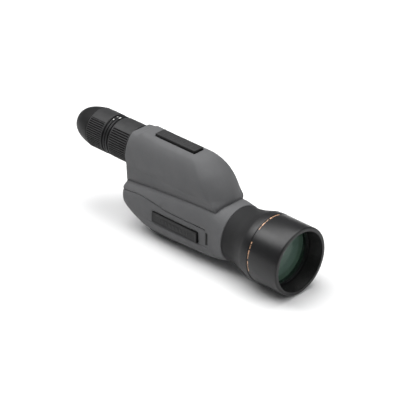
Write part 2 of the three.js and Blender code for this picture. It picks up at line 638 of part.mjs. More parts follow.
const eyecupGuideRing = () => tube(-127, SEAM_X - 0.6, CUP_SEAT_R + GAP, 16.6);
const eyecupSleeve = () => tube(-127, SEAM_X - 0.6, 16.9, 18);

function eyecupRubber() {
  const front = new THREE.Vector2(SEAM_X - GAP, 22.1);
  const lip = new THREE.Vector2(EYECUP_X, 13.2);
  const outside = new THREE.QuadraticBezierCurve(front, new THREE.Vector2(-132, 19.6), lip).getPoints(5);
  const inside = [
    [-138.4, 12.2], [-136, 12.5], [-128.6, 15.2], [-127.3, 15.4], [-127.3, 18.3], [front.x, 18.3],
  ];
  return turned([...outside.map((point) => [point.x, point.y]), ...inside], ROUND_BIG);
}

// ---------------------------------------------------------------- finishes
const finish = (color, roughness, metalness) =>
  new THREE.MeshStandardMaterial({ color, roughness, metalness });
const rubberGrey = finish(0x64666a, 0.75, 0);
const rubberBlack = finish(0x1d1d1e, 0.7, 0);
const anodised = finish(0x161617, 0.35, 0.6);
const alloy = finish(0x8d8f92, 0.45, 0.9);
const steel = finish(0xb5b7ba, 0.3, 1);
const brass = finish(0xb08d57, 0.35, 1);
const nitrile = finish(0x0d0d0d, 0.6, 0);
const coatedGlass = finish(0x5f8f78, 0.05, 0.1);
const clearGlass = finish(0xcfd8dc, 0.05, 0);

// ---------------------------------------------------------------- assembly
const scope = new THREE.Group();
scope.position.z = AXIS_HEIGHT;
const eyepiece = new THREE.Group();
eyepiece.position.z = EYE_RISE;
scope.add(eyepiece);

function add(parent, name, solid, material, place = [0, 0, 0]) {
  const mesh = new THREE.Mesh(toGeometry(solid), material);
  mesh.name = name;
  mesh.position.set(...place);
  parent.add(mesh);
  return mesh;
}

add(scope, 'rubber_armour', rubberArmour(), rubberGrey);
add(scope, 'main_housing', mainHousing(), alloy);
add(scope, 'top_pad', topPad(), rubberBlack);
add(scope, 'side_pad_right', sidePad(-1), rubberBlack);
add(scope, 'side_pad_left', sidePad(1), rubberBlack);
add(scope, 'tripod_foot', tripodFoot(), anodised);
FOOT_SCREWS.forEach(([x, y], i) => {
  add(scope, `foot_screw_${i + 1}`, vertical(capScrew(2.4, 2, 1.3, 9.5)), steel, [x, y, -AXIS_HEIGHT + 0.4]);
});
add(scope, 'purge_screw', vertical(capScrew(2.9, 1.4, 1.5, 3)), steel, [PURGE_X, 0, -33.3]);

add(scope, 'objective_barrel', objectiveBarrel(), anodised);
add(scope, 'objective_front_lens', objectiveFrontLens(), coatedGlass);
add(scope, 'objective_spacer', objectiveSpacer(), anodised);
add(scope, 'objective_rear_lens', objectiveRearLens(), clearGlass);
add(scope, 'objective_retaining_ring', objectiveRetainer(), anodised);
add(scope, 'barrel_baffle', barrelBaffle(), anodised);
add(scope, 'barrel_seal', barrelSeal(), nitrile);

add(scope, 'prism_bulkhead', prismBulkhead(), alloy);
BULKHEAD_SCREWS.forEach(([y, z], i) => {
  add(scope, `bulkhead_screw_${i + 1}`, capScrew(2.1, 2, 1, 7), steel, [BULKHEAD_X - GAP - 2, y, z]);
});
RODS.forEach((y) => {
  add(scope, y < 0 ? 'guide_rod_right' : 'guide_rod_left', guideRod(), steel, [0, y, ROD_Z]);
});
add(scope, 'front_prism_cell', frontPrismCell(), alloy);
add(scope, 'front_prism', frontPrism(), clearGlass);
add(scope, 'front_prism_spring', frontPrismSpring(), steel);
[-1, 1].forEach((side, i) => {
  const place = [BULKHEAD_X - GAP - 1.6, side * CELL_SCREW_Y, CELL_Z];
  add(scope, `cell_screw_${i + 1}`, capScrew(1.9, 1.6, 0.9, 8), steel, place);
});
add(scope, 'prism_carriage', prismCarriage(), alloy);
add(scope, 'rear_prism', rearPrism(), clearGlass);
add(scope, 'rear_prism_clip', rearPrismClip(), steel);
[-1, 1].forEach((side, i) => {
  const screw = capScrew(1.4, 1, 0.6, 5).rotate([0, 180, 0]);
  const place = [REAR_PRISM_X + 1 + 2 * GAP + 1, side * CLIP_SCREW_Y, FOLD / 2];
  add(scope, `clip_screw_${i + 1}`, screw, steel, place);
});
add(scope, 'focus_bushing', focusBushing(), brass);
add(scope, 'focus_shaft_seal', focusSeal(), nitrile);
add(scope, 'focus_shaft', focusShaft(), steel);
add(scope, 'focus_knob', focusKnob(), anodised);
add(scope, 'focus_knob_grip', focusKnobGrip(), rubberBlack);
add(scope, 'focus_set_screw', focusSetScrew(), steel);

add(eyepiece, 'eyepiece_barrel', eyepieceBarrel(), anodised);
add(eyepiece, 'eyepiece_lock_nut', eyepieceLockNut(), brass);
add(eyepiece, 'eyepiece_seal', eyepieceSeal(), nitrile);
add(eyepiece, 'eyepiece_front_grip', frontGrip(), rubberBlack);
add(eyepiece, 'index_collar', indexCollar(), anodised);
add(eyepiece, 'field_lens', fieldLens(), clearGlass);
add(eyepiece, 'field_stop', fieldStop(), anodised);
add(eyepiece, 'zoom_ring', zoomRing(), anodised);
add(eyepiece, 'zoom_ring_grip', zoomGrip(), rubberBlack);
add(eyepiece, 'zoom_drive_pin', zoomDrivePin(), steel);
add(eyepiece, 'zoom_cam_sleeve', zoomCamSleeve(), brass);
add(eyepiece, 'front_zoom_cell', zoomCell(FRONT_CELL_X), alloy);
add(eyepiece, 'front_zoom_lens', zoomLens(FRONT_CELL_X), clearGlass);
add(eyepiece, 'rear_zoom_cell', zoomCell(REAR_CELL_X), alloy);
add(eyepiece, 'rear_zoom_lens', zoomLens(REAR_CELL_X), clearGlass);
add(eyepiece, 'eye_lens', eyeLens(), clearGlass);
add(eyepiece, 'eye_lens_retainer', eyeLensRetainer(), anodised);
add(eyepiece, 'eyecup_guide_ring', eyecupGuideRing(), anodised);
add(eyepiece, 'eyecup_sleeve', eyecupSleeve(), anodised);
add(eyepiece, 'eyecup_rubber', eyecupRubber(), rubberBlack);

export default scope;
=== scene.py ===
import math

import bpy
import numpy as np
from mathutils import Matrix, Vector


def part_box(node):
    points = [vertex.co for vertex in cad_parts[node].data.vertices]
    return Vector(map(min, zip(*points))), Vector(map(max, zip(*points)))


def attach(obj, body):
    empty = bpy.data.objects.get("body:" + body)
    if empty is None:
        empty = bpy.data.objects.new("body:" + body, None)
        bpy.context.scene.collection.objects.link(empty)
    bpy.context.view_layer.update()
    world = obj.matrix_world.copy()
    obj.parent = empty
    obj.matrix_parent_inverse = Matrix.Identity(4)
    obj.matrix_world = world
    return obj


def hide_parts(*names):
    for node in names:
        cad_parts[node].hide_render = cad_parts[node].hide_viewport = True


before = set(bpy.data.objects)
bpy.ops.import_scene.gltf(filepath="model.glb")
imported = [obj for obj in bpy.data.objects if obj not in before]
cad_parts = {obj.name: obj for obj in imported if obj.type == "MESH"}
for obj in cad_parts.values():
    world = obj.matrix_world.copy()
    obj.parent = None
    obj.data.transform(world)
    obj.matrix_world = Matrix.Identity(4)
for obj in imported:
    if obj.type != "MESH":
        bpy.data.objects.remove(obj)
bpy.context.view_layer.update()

# A compact spotting scope's looks, around its CAD frame. All lengths here are in mm until a mesh is
# made. x runs along the scope towards the target, y to its left, z up from the floor.
MM = 0.001


# ------------------------------------------------------------------ measures taken from the frame
def span(node):
    low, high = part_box(node)
    return np.array(low) / MM, np.array(high) / MM


def ends(node):
    """Rear end, front end and outer radius of a turned CAD piece."""
    low, high = span(node)
    return low[0], high[0], (high[2] - low[2]) / 2


def middle(node):
    low, high = span(node)
    return (low + high) / 2


AXIS_Z = middle("objective_barrel")[2]
EYE_Z = middle("eyepiece_front_grip")[2]
BARREL_REAR, RIM_X, BELL_R = ends("objective_barrel")
ARMOUR_LOW, ARMOUR_HIGH = span("rubber_armour")
BODY_REAR, BODY_FRONT = ARMOUR_LOW[0], ARMOUR_HIGH[0]
RIDGE = ARMOUR_HIGH[2] - AXIS_Z             # the hump's ridge above the objective axis
FOOT_LOW, FOOT_HIGH = span("tripod_foot")
ARMOUR_THICK = 2.2
GAP = 0.3                           # between neighbouring pieces

# The camera: angles in degrees, and mm from the centre of the front rim.
CAMERA_AZIMUTH = 44.24
CAMERA_ELEVATION = 29.58
CAMERA_AWAY = 2116.4
CAMERA_RIGHT = -101.49
CAMERA_UP = 62.69
CAMERA_LENS = 188.86


# ------------------------------------------------------------------ meshes
TURNED_SMOOTH = 40                  # edges sharper than these angles stay sharp
SCULPTED_SMOOTH = 70
FILLET_STEPS = 4
FILLET_SHARE = 0.45                 # the most of a side that one fillet takes


def make_piece(name, points, faces, smooth_angle=TURNED_SMOOTH):
    mesh = bpy.data.meshes.new(name)
    mesh.from_pydata((np.asarray(points) * MM).tolist(), [], faces)
    mesh.shade_smooth()
    mesh.set_sharp_from_angle(angle=math.radians(smooth_angle))
    piece = bpy.data.objects.new(name, mesh)
    bpy.context.scene.collection.objects.link(piece)
    return piece


def outward(points, faces):
    """The faces, turned over if they face the inside."""
    first = points[[face[0] for face in faces]]
    second = points[[face[1] for face in faces]]
    third = points[[face[2] for face in faces]]
    volume = np.einsum("ij,ij->i", first, np.cross(second, third)).sum()
    return faces if volume > 0 else [face[::-1] for face in faces]


def rounded(corners):
    """A closed outline with each corner (x, radius, fillet) rounded off."""
    outline = []
    for i, corner in enumerate(corners):
        here = np.array(corner[:2], float)
        if len(corner) < 3:
            outline.append(here)
            continue
        before = np.array(corners[i - 1][:2]) - here
        after = np.array(corners[(i + 1) % len(corners)][:2]) - here
        reach_before = min(corner[2], FILLET_SHARE * np.hypot(*before))
        reach_after = min(corner[2], FILLET_SHARE * np.hypot(*after))
        start = here + before / np.hypot(*before) * reach_before
        end = here + after / np.hypot(*after) * reach_after
        for t in np.linspace(0, 1, FILLET_STEPS + 1):
            outline.append((1 - t) ** 2 * start + 2 * t * (1 - t) * here + t * t * end)
    return np.array(outline)


def turned(name, outline, axis_z, segments=96, relief=None):
    """An outline of (x, radius) points turned about a line along X. Angles start at the top and
    go round past the right side. relief(x, radius, angle) gives each point's new radius."""
    outline = np.asarray(outline, float)
    angles = np.arange(segments) * 2 * math.pi / segments
    points, rows, sunk = [], [], []
    for x, radius in outline:
        if radius < 1e-6:
            rows.append([len(points)] * segments)
            points.append((x, 0, axis_z))
            sunk.append(0)
            continue
        around = np.full(segments, radius) if relief is None else relief(x, radius, angles)
        rows.append(list(range(len(points), len(points) + segments)))
        points += zip(np.full(segments, x), -around * np.sin(angles), axis_z + around * np.cos(angles))
        sunk += list(radius - around)
    faces = []
    for i, row in enumerate(rows):
        following = rows[(i + 1) % len(rows)]
        for j in range(segments):
            k = (j + 1) % segments
            face = list(dict.fromkeys([row[j], row[k], following[k], following[j]]))
            if len(face) > 2:
                faces.append(face)
    points = np.array(points)
    piece = make_piece(name, points, outward(points, faces))
    piece.data.attributes.new("sunk", "FLOAT", "POINT").data.foreach_set("value", np.float32(sunk))
    return piece


# ------------------------------------------------------------------ forms made from distance fields
SETTLE_ROUNDS = 3                   # how often a surface's points are moved onto it


def smooth_max(a, b, radius):
    near = np.maximum(radius - np.abs(a - b), 0) / radius
    return np.maximum(a, b) + near * near * radius / 4


def smooth_min(a, b, radius):
    return -smooth_max(-a, -b, radius)


def smooth_step(t):
    t = np.clip(t, 0, 1)
    return t * t * (3 - 2 * t)


def rounded_box(x, y, z, low, high, radius):
    """Distance from a box with rounded edges, negative inside."""
    centre = (np.array(low) + np.array(high)) / 2
    half = (np.array(high) - np.array(low)) / 2 - radius
    q = [np.abs(v - c) - h for v, c, h in zip((x, y, z), centre, half)]
    outside = np.sqrt(sum(np.maximum(v, 0) ** 2 for v in q))
    return outside + np.minimum(np.maximum(np.maximum(q[0], q[1]), q[2]), 0) - radius


def rounded_panel(u, v, low, high, radius):
    """The same for a flat rectangle."""
    far = np.zeros_like(u)
    return rounded_box(u, v, far, (*low, -1e3), (*high, 1e3), radius)


def smooth_curve(knots, values):
    """A smooth curve through a few points, as a function. It has no wiggles between them."""
    order = np.argsort(knots)
    knots = np.array(knots, float)[order]
    values = np.array(values, float)[order]
    slopes = np.diff(values) / np.diff(knots)
    product = slopes[:-1] * slopes[1:]
    total = slopes[:-1] + slopes[1:]
    inner = np.where(product > 0, 2 * product / np.where(total == 0, 1, total), 0)
    tangents = np.concatenate([slopes[:1], inner, slopes[-1:]])

    def curve(at):
        at = np.clip(at, knots[0], knots[-1])
        i = np.clip(np.searchsorted(knots, at, side="right") - 1, 0, len(knots) - 2)
        width = knots[i + 1] - knots[i]
        t = (at - knots[i]) / width
        ahead = t * t * (3 - 2 * t)
        bend = t * (1 - t) ** 2 * tangents[i] - t * t * (1 - t) * tangents[i + 1]
        return values[i] + (values[i + 1] - values[i]) * ahead + bend * width

    return curve


def surface_net(values, low, step):
    """Points and quads of the surface where a grid of values changes sign."""
    cells = tuple(n - 1 for n in values.shape)
    total = np.zeros((3,) + cells)
    count = np.zeros(cells)

    def at_corner(corner):
        return values[tuple(slice(c, c + n) for c, n in zip(corner, cells))]

    for axis in range(3):
        for u in (0, 1):
            for v in (0, 1):
                start = [u, v]
                start.insert(axis, 0)
                end = list(start)
                end[axis] = 1
                a, b = at_corner(start), at_corner(end)
                crosses = (a < 0) != (b < 0)
                place = np.where(crosses, a / np.where(crosses, a - b, 1), 0)
                for along in range(3):
                    total[along] += crosses * (place if along == axis else start[along])
                count += crosses
    active = count > 0
    numbers = np.full(cells, -1)
    numbers[active] = np.arange(active.sum())
    points = (np.argwhere(active) + (total[:, active] / count[active]).T) * step + low
    quads = []
    for axis in range(3):
        u, v = (axis + 1) % 3, (axis + 2) % 3
        first = [slice(1, n) for n in cells]
        second = list(first)
        first[axis] = slice(0, cells[axis])
        second[axis] = slice(1, cells[axis] + 1)
        a, b = values[tuple(first)], values[tuple(second)]
        for leaving, way in (((a < 0) & (b >= 0), 1), ((a >= 0) & (b < 0), -1)):
            at = np.argwhere(leaving)
            shift = np.ones(3, int)
            shift[axis] = 0
            at = at + shift
            ring = []
            for du, dv in ((-1, -1), (0, -1), (0, 0), (-1, 0)):
                cell = at.copy()
                cell[:, u] += du
                cell[:, v] += dv
                ring.append(numbers[tuple(cell.T)])
            quads.append(np.stack(ring[::way], 1))
    return points, np.concatenate(quads)


def sculpted(name, field, low, high, step):
    """A closed piece whose surface is where field(x, y, z) is zero."""
    low = np.array(low, float) - 1.5 * step
    counts = np.ceil((np.array(high) + 1.5 * step - low) / step).astype(int) + 1
    grid = np.meshgrid(*[low[i] + step * np.arange(counts[i]) for i in range(3)], indexing="ij")
    points, quads = surface_net(field(*grid), low, step)
    reach = 0.05
    for _ in range(SETTLE_ROUNDS):
        value = field(*points.T)
        slope = np.stack([
            field(*(points + reach * side).T) - field(*(points - reach * side).T) for side in np.eye(3)
        ], 1) / (2 * reach)
        move = -value[:, None] * slope / np.maximum((slope ** 2).sum(1), 0.2)[:, None]
        points = points + np.clip(move, -0.4 * step, 0.4 * step)
    return make_piece(name, points, quads.tolist(), SCULPTED_SMOOTH)


# ------------------------------------------------------------------ the armour's outer form
# Sections of the lower body: x, half width, reach above and below the objective axis, squareness.
LOWER_SECTIONS = [
    (BODY_FRONT, 31.5, 31.5, 31.5, 2),
    (89, 31.2, 31.5, 32, 2.2),
    (79, 30, 31, 33, 2.7),
    (60, 30.2, 30.2, 33.6, 3.0),
    (30, 31, 27.5, 34, 3.1),
    (-16, 31.2, 22.8, 33.5, 3.1),
    (-34, 31.2, 21.5, 28.8, 2.65),
    (-44, 31, 20.6, 23.4, 2.45),
    (-49.5, 30.2, 19.8, 18.8, 2.4),
    (BODY_REAR, 28, 18.5, 15.4, 2.4),
]
LOWER_CURVES = [
    smooth_curve([section[0] for section in LOWER_SECTIONS], [section[i] for section in LOWER_SECTIONS])
    for i in range(1, 5)
]
HUMP_MIDDLE = 44.3                  # the hump's upright oval, above the objective axis
HUMP_HALF = 32                      # its half height, which is less above the middle at the rear
HUMP_TALL = smooth_curve([BODY_REAR, -49, -44, -38], [28.8, 29.8, 31.2, HUMP_HALF])
HUMP_SIDE = 23.9
HUMP_WAIST = 22.6                   # half width below the oval, where the walls are nearly upright
WALL_SLOPE = 0.05
HUMP_BASE_Z = -5
WAIST_Z = HUMP_MIDDLE - HUMP_HALF * math.sqrt(1 - (HUMP_WAIST / HUMP_SIDE) ** 2)
# The nose: where its middle line lies at each height, and how fast it bows back towards the sides.
NOSE = smooth_curve(
    [20, 28, 33.5, 44.3, 57.1, 66.6, 72, 80],
    [83.9, 83.2, 82.2, 77.6, 68.3, 56.2, 46.8, 28])
NOSE_BOW = smooth_curve([24, 30, 38, 60], [0.0115, 0.0125, 0.0195, 0.0225])
FOOT_TUCK = 0.2                     # how fast the nose's foot narrows downward
FOOT_TUCK_Z = 31
# The ridge's height: level, then a shallow dip before the collar round the eyepiece.
RIDGE_TOP = smooth_curve([BODY_REAR, -50, -46, -43, -38.5], [69.4, 69.6, 69.2, 69.6, RIDGE])


def lower_form(x, y, z):
    side, up, down, square = (curve(x) for curve in LOWER_CURVES)
    height = z - (up - down) / 2
    tall = (up + down) / 2
    share = ((np.abs(y) / side) ** square + (np.abs(height) / tall) ** square) ** (1 / square)
    section = np.hypot(y, height) * (1 - 1 / np.maximum(share, 1e-3))
    return smooth_max(smooth_max(section, BODY_REAR - x, 3), x - BODY_FRONT, 0.8)


def hump_form(x, y, z):
    height = z - HUMP_MIDDLE
    tall = np.where(height > 0, HUMP_TALL(x), HUMP_HALF)
    share = np.maximum(np.hypot(y / HUMP_SIDE, height / tall), 1e-3)
    oval = np.hypot(y, height) * (1 - 1 / share)
    upright = np.abs(y) - HUMP_WAIST + WALL_SLOPE * np.maximum(WAIST_Z - 3 - z, 0)
    wall = np.where(z > WAIST_Z, oval, upright)
    wall = wall + FOOT_TUCK * np.maximum(FOOT_TUCK_Z - z, 0) * smooth_step((x - 60) / 20)
    ridge = z - RIDGE_TOP(x)
    slope = NOSE(z + 0.5) - NOSE(z - 0.5)
    bow = NOSE_BOW(z)
    nose = (x - NOSE(z) + bow * y * y) / np.sqrt(1 + slope ** 2 + (2 * bow * y) ** 2)
    crease = np.interp(z, [30, 70], [1.0, 4])
    form = smooth_max(wall, ridge, np.interp(x, [-40, -15], [1.5, 4]))
    form = smooth_max(form, nose, crease)
    form = smooth_max(form, BODY_REAR - x, 1.6)
    return np.maximum(form, HUMP_BASE_Z - z)


def body_form(x, y, z):
    return smooth_min(lower_form(x, y, z), hump_form(x, y, z), 1.4)


CREASE_WIDE = 1.1                   # the groove where the hump meets the lower body
CREASE_DEEP = 1.0
PLINTH_LOW = (FOOT_LOW[0] - 12, -18.4, -36.3)
PLINTH_HIGH = (FOOT_HIGH[0] + 2.5, 18.4, -20)
PLINTH_HEEL = 0.42                  # slope of the plinth's rear end
FLANK_Y = 21                        # the sides' relief starts this far out
SLOT_X, SLOT_WIDE = 72.6, 3.2       # the upright slot ahead of each side pad
SLOT_LOW, SLOT_HIGH = -11.8, 3.0
SLOT_DEEP = 0.8
PANEL_REAR, PANEL_FRONT = -20, 75   # the sunk panel round each side pad
PANEL_BOTTOM = -14.6
PANEL_DEEP = 0.9
PANEL_EDGE = 0.7                    # width of the step at the panel's edge
GROOVE_WIDE, GROOVE_DEEP = 0.9, 1.0
LEDGE_FRONT, LEDGE_HIGH = 9, 17     # the wedge above the panel
LEDGE_PROUD = 1.1


def line_step(distance, width):
    """Goes from 0 outside to 1 inside over the given width."""
    return smooth_step(0.5 - distance / width)


# Height of the side panel's top edge, which runs on to the rear as the ledge's lower edge.
PANEL_TOP = smooth_curve(
    [-50, -37.7, -22.5, -5.8, 7, LEDGE_FRONT, 29, 69, PANEL_FRONT],
    [8, 9.2, 10.4, 9.6, 8.4, 6.9, 6.4, 6.4, 5.6])


def side_panel(x, z):
    """1 inside the sunk panel round the side pad, 0 outside."""
    rows = line_step(z - PANEL_TOP(x), PANEL_EDGE) * line_step(PANEL_BOTTOM - z, PANEL_EDGE)
    return rows * smooth_step((x - PANEL_REAR) / 14) * line_step(x - PANEL_FRONT, PANEL_EDGE)


def panel_groove(x, z):
    """A fine groove along the panel's top edge."""
    line = np.exp(-((z - PANEL_TOP(x)) / GROOVE_WIDE) ** 2)
    return line * smooth_step((PANEL_FRONT - 2 - x) / 4)


def side_slot(x, z):
    """Distance from the slot's outline, negative inside."""
    low = (SLOT_X - SLOT_WIDE / 2, SLOT_LOW)
    high = (SLOT_X + SLOT_WIDE / 2, SLOT_HIGH)
    return rounded_panel(x, z, low, high, 1)


def side_ledge(x, z):
    """How far the wedge above the panel, behind its pad, stands out."""
    edge = PANEL_TOP(x)
    fall = np.clip((LEDGE_HIGH - z) / (LEDGE_HIGH - edge), 0, 1)
    return line_step(edge - z, 0.6) * fall * smooth_step((LEDGE_FRONT - x) / 3)


def armour_skin(x, y, z):
    """The outside of the armour with its plinth, side panel, ledge and front slot."""
    lower = lower_form(x, y, z)
    flank = smooth_step((np.abs(y) - FLANK_Y) / 3)
    lower = lower + PANEL_DEEP * flank * side_panel(x, z)
    lower = lower + GROOVE_DEEP * flank * panel_groove(x, z)
    lower = lower + SLOT_DEEP * flank * line_step(side_slot(x, z), 0.8)
    lower = lower - LEDGE_PROUD * flank * side_ledge(x, z)
    plinth = rounded_box(x, y, z, PLINTH_LOW, PLINTH_HIGH, 2)
    heel = PLINTH_LOW[2] + PLINTH_HEEL * (FOOT_LOW[0] - 3 - x) - z
    plinth = smooth_max(plinth, heel, 1.5)
    lower = smooth_min(lower, plinth, 1)
    hump = hump_form(x, y, z)
    crease = np.exp(-(lower ** 2 + hump ** 2) / CREASE_WIDE ** 2)
    return smooth_min(lower, hump, 0.6) + CREASE_DEEP * crease


# ------------------------------------------------------------------ materials
NOISE_ROUGH = 0.55
FLARE_X = (108, 136)                # the barrel's black grows glossier between these stations


class Finish:
    """A procedural material, built up in layers on one Principled shader."""

    def __init__(self, name, colour, roughness, metallic=0.0):
        self.material = bpy.data.materials.new(name)
        self.material.use_nodes = True
        self.tree = self.material.node_tree
        self.shader = self.tree.nodes["Principled BSDF"]
        self.shader.inputs["Metallic"].default_value = metallic
        self.place = self.node("ShaderNodeTexCoord").outputs["Object"]
        self.colour = tuple(colour) + (1,)
        self.roughness = roughness
        self.height = None

    def node(self, kind, inputs=(), **settings):
        made = self.tree.nodes.new(kind)
        for key, value in settings.items():
            setattr(made, key, value)
        for key, value in dict(inputs).items():
            self.feed(made.inputs[key], value)
        return made

    def feed(self, socket, value):
        if isinstance(value, bpy.types.NodeSocket):
            self.tree.links.new(value, socket)
        else:
            socket.default_value = value

    def noise(self, scale, detail, stretch=(1, 1, 1)):
        """Noise whose grain is about 1/scale of a metre."""
        stretched = self.node("ShaderNodeMapping", {"Vector": self.place, "Scale": stretch})
        made = self.node("ShaderNodeTexNoise", {
            "Vector": stretched.outputs[0], "Scale": scale, "Detail": detail, "Roughness": NOISE_ROUGH})
        return made.outputs["Fac"]

    def cells(self, scale):
        """A pebbled pattern, by the distance from each pebble's middle."""
        made = self.node("ShaderNodeTexVoronoi", {"Vector": self.place, "Scale": scale})
        return made.outputs["Distance"]

    def ramp(self, value, low, high):
        """Goes from 0 to 1 while the value goes from low to high."""
        made = self.node("ShaderNodeMapRange", {"Value": value, "From Min": low, "From Max": high})
        return made.outputs["Result"]

    def times(self, a, b):
        return self.node("ShaderNodeMath", {0: a, 1: b}, operation="MULTIPLY").outputs[0]

    def blend_colour(self, mask, first, second):
        made = self.node("ShaderNodeMix", data_type="RGBA")
        self.feed(made.inputs["Factor"], mask)
        self.feed(made.inputs["A"], first)
        self.feed(made.inputs["B"], second)
        return made.outputs["Result"]

    def tint(self, mask, colour):
        """Paints a colour over the part of the surface that the mask covers."""
        self.colour = self.blend_colour(mask, self.colour, tuple(colour) + (1,))

    def gloss(self, mask, roughness):
        """Gives the part that the mask covers another roughness."""
        value = self.node("ShaderNodeMix", data_type="FLOAT")
        self.feed(value.inputs["Factor"], mask)
        self.feed(value.inputs["A"], self.roughness)
        self.feed(value.inputs["B"], roughness)
        self.roughness = value.outputs["Result"]

    def cavity(self, low, high):
        """Where a turned piece's relief is sunk, by its depth in mm."""
        depth = self.node("ShaderNodeAttribute", attribute_name="sunk").outputs["Fac"]
        return self.ramp(depth, low, high)

    def edges(self, low, high):
        """Where the surface has a convex edge, or a hollow one if low is above high."""
        return self.ramp(self.node("ShaderNodeNewGeometry").outputs["Pointiness"], low, high)

    def bump(self, height, depth):
        """Relief of a given depth in mm."""
        made = self.node("ShaderNodeBump", {"Height": height, "Distance": depth * MM, "Strength": 1.0})
        if self.height is not None:
            self.tree.links.new(self.height, made.inputs["Normal"])
        self.height = made.outputs["Normal"]

    def done(self, **sockets):
        self.feed(self.shader.inputs["Base Color"], self.colour)
        self.feed(self.shader.inputs["Roughness"], self.roughness)
        if self.height is not None:
            self.tree.links.new(self.height, self.shader.inputs["Normal"])
        for key, value in sockets.items():
            self.shader.inputs[key.replace("_", " ")].default_value = value
        return self.material


def armour_rubber():
    finish = Finish("armour_rubber", (0.079, 0.0795, 0.082), 0.7)
    finish.tint(finish.ramp(finish.noise(45, 4), 0.35, 0.75), (0.088, 0.0885, 0.091))
    finish.tint(finish.times(finish.ramp(finish.noise(900, 2), 0.5, 0.8), 0.35), (0.067, 0.0675, 0.07))
    # Painted highlight: convex edges are painted lighter.
    finish.tint(finish.times(finish.edges(0.515, 0.58), 0.3), (0.15, 0.153, 0.157))
    # Painted shade: hollows and creases are painted darker.
    finish.tint(finish.times(finish.edges(0.485, 0.43), 0.75), (0.022, 0.022, 0.023))
    finish.gloss(finish.ramp(finish.noise(70, 4), 0.4, 0.7), 0.6)
    finish.bump(finish.cells(1500), 0.05)
    finish.bump(finish.noise(3200, 3), 0.03)
    return finish.done(Specular_IOR_Level=0.36)


def pad_rubber():
    finish = Finish("pad_rubber", (0.021, 0.021, 0.0215), 0.6)
    finish.tint(finish.ramp(finish.noise(160, 4), 0.4, 0.75), (0.027, 0.027, 0.0275))
    # Painted highlight: convex edges are painted lighter.
    finish.tint(finish.times(finish.edges(0.52, 0.6), 0.3), (0.06, 0.06, 0.062))
    finish.gloss(finish.ramp(finish.noise(90, 3), 0.4, 0.7), 0.52)
    finish.bump(finish.cells(2100), 0.05)
    return finish.done(Specular_IOR_Level=0.2)


def pad_wall_shade():
    """The upright sides of the pads, partly their own darker rubber and partly painted shade, and painted
    shade in the armour's slots.
    """
    finish = Finish("pad_wall_shade", (0.005, 0.005, 0.005), 0.5)
    finish.tint(finish.ramp(finish.noise(220, 3), 0.4, 0.75), (0.008, 0.008, 0.008))
    finish.bump(finish.noise(2400, 2), 0.02)
    return finish.done(Specular_IOR_Level=0.2)


def grip_rubber(name, dark, worn, sheen):
    finish = Finish(name, (dark, dark, 1.03 * dark), 0.55)
    finish.tint(finish.ramp(finish.noise(120, 4), 0.4, 0.75), (worn, worn, 1.03 * worn))
    # Painted highlight: convex edges are painted lighter.
    finish.tint(finish.times(finish.edges(0.52, 0.62), 0.35), (0.05, 0.05, 0.052))
    # Painted shade: the valleys between the ribs are painted darker by their depth.
    finish.tint(finish.cavity(0.15, 0.6), (0.002, 0.002, 0.002))
    finish.gloss(finish.ramp(finish.noise(80, 3), 0.4, 0.7), 0.47)
    finish.gloss(finish.cavity(0.15, 0.6), 0.9)
    finish.bump(finish.noise(2600, 3), 0.03)
    return finish.done(Specular_IOR_Level=sheen)


def black_anodised():
    """Satin on the bell, flatter towards the barrel's neck."""
    finish = Finish("black_anodised", (0.0075, 0.0075, 0.008), 0.34)
    finish.tint(finish.ramp(finish.noise(60, 4), 0.35, 0.75), (0.0095, 0.0095, 0.01))
    # Painted highlight: convex edges are painted lighter.
    finish.tint(finish.times(finish.edges(0.53, 0.64), 0.35), (0.08, 0.08, 0.082))
    finish.gloss(finish.ramp(finish.noise(140, 4, (1, 0.15, 0.15)), 0.4, 0.7), 0.3)
    along = finish.node("ShaderNodeSeparateXYZ", {0: finish.place}).outputs["X"]
    finish.gloss(finish.ramp(along, FLARE_X[1] * MM, FLARE_X[0] * MM), 0.75)
    finish.bump(finish.noise(4200, 2), 0.012)
    return finish.done(Specular_IOR_Level=0.3)


def flat_black():
    """The flatter black of the index collar and the zoom ring."""
    finish = Finish("flat_black", (0.0085, 0.0085, 0.009), 0.5)
    finish.tint(finish.ramp(finish.noise(80, 4), 0.35, 0.75), (0.011, 0.011, 0.0115))
    # Painted highlight: convex edges are painted lighter.
    finish.tint(finish.times(finish.edges(0.53, 0.64), 0.3), (0.05, 0.05, 0.052))
    finish.bump(finish.noise(3600, 2), 0.015)
    return finish.done(Specular_IOR_Level=0.2)


def matte_black():
    """The flat black paint inside the hood and behind the glass."""
    finish = Finish("matte_black", (0.005, 0.005, 0.005), 0.5)
    finish.tint(finish.ramp(finish.noise(300, 3), 0.4, 0.75), (0.008, 0.008, 0.008))
    finish.bump(finish.noise(2200, 2), 0.03)
    return finish.done(Specular_IOR_Level=0.35)


def paint(name, colour):
    finish = Finish(name, colour, 0.45)
    finish.tint(finish.ramp(finish.noise(700, 3), 0.5, 0.85), tuple(0.7 * c for c in colour))
    finish.bump(finish.noise(2500, 2), 0.02)
    return finish.done()


def bare_metal(name, colour, roughness, streak):
    finish = Finish(name, colour, roughness, 1.0)
    finish.tint(finish.ramp(finish.noise(90, 4), 0.4, 0.75), tuple(0.8 * c for c in colour))
    finish.gloss(finish.ramp(finish.noise(600, 3, streak), 0.4, 0.7), roughness * 0.7)
    finish.bump(finish.noise(1500, 2, streak), 0.02)
    return finish.done()


def seal_rubber():
    finish = Finish("seal_rubber", (0.012, 0.012, 0.012), 0.5)
    finish.tint(finish.ramp(finish.noise(400, 3), 0.45, 0.8), (0.02, 0.02, 0.02))
    finish.bump(finish.noise(3000, 2), 0.02)
    return finish.done()


def glass(name, colour, dusty, alpha, roughness=0.04):
    finish = Finish(name, colour, roughness)
    finish.tint(finish.ramp(finish.noise(60, 3), 0.4, 0.8), dusty)
    finish.gloss(finish.ramp(finish.noise(350, 4), 0.62, 0.8), 0.12)
    material = finish.done(IOR=1.52, Alpha=alpha)
    material.blend_method = "BLEND"
    return material


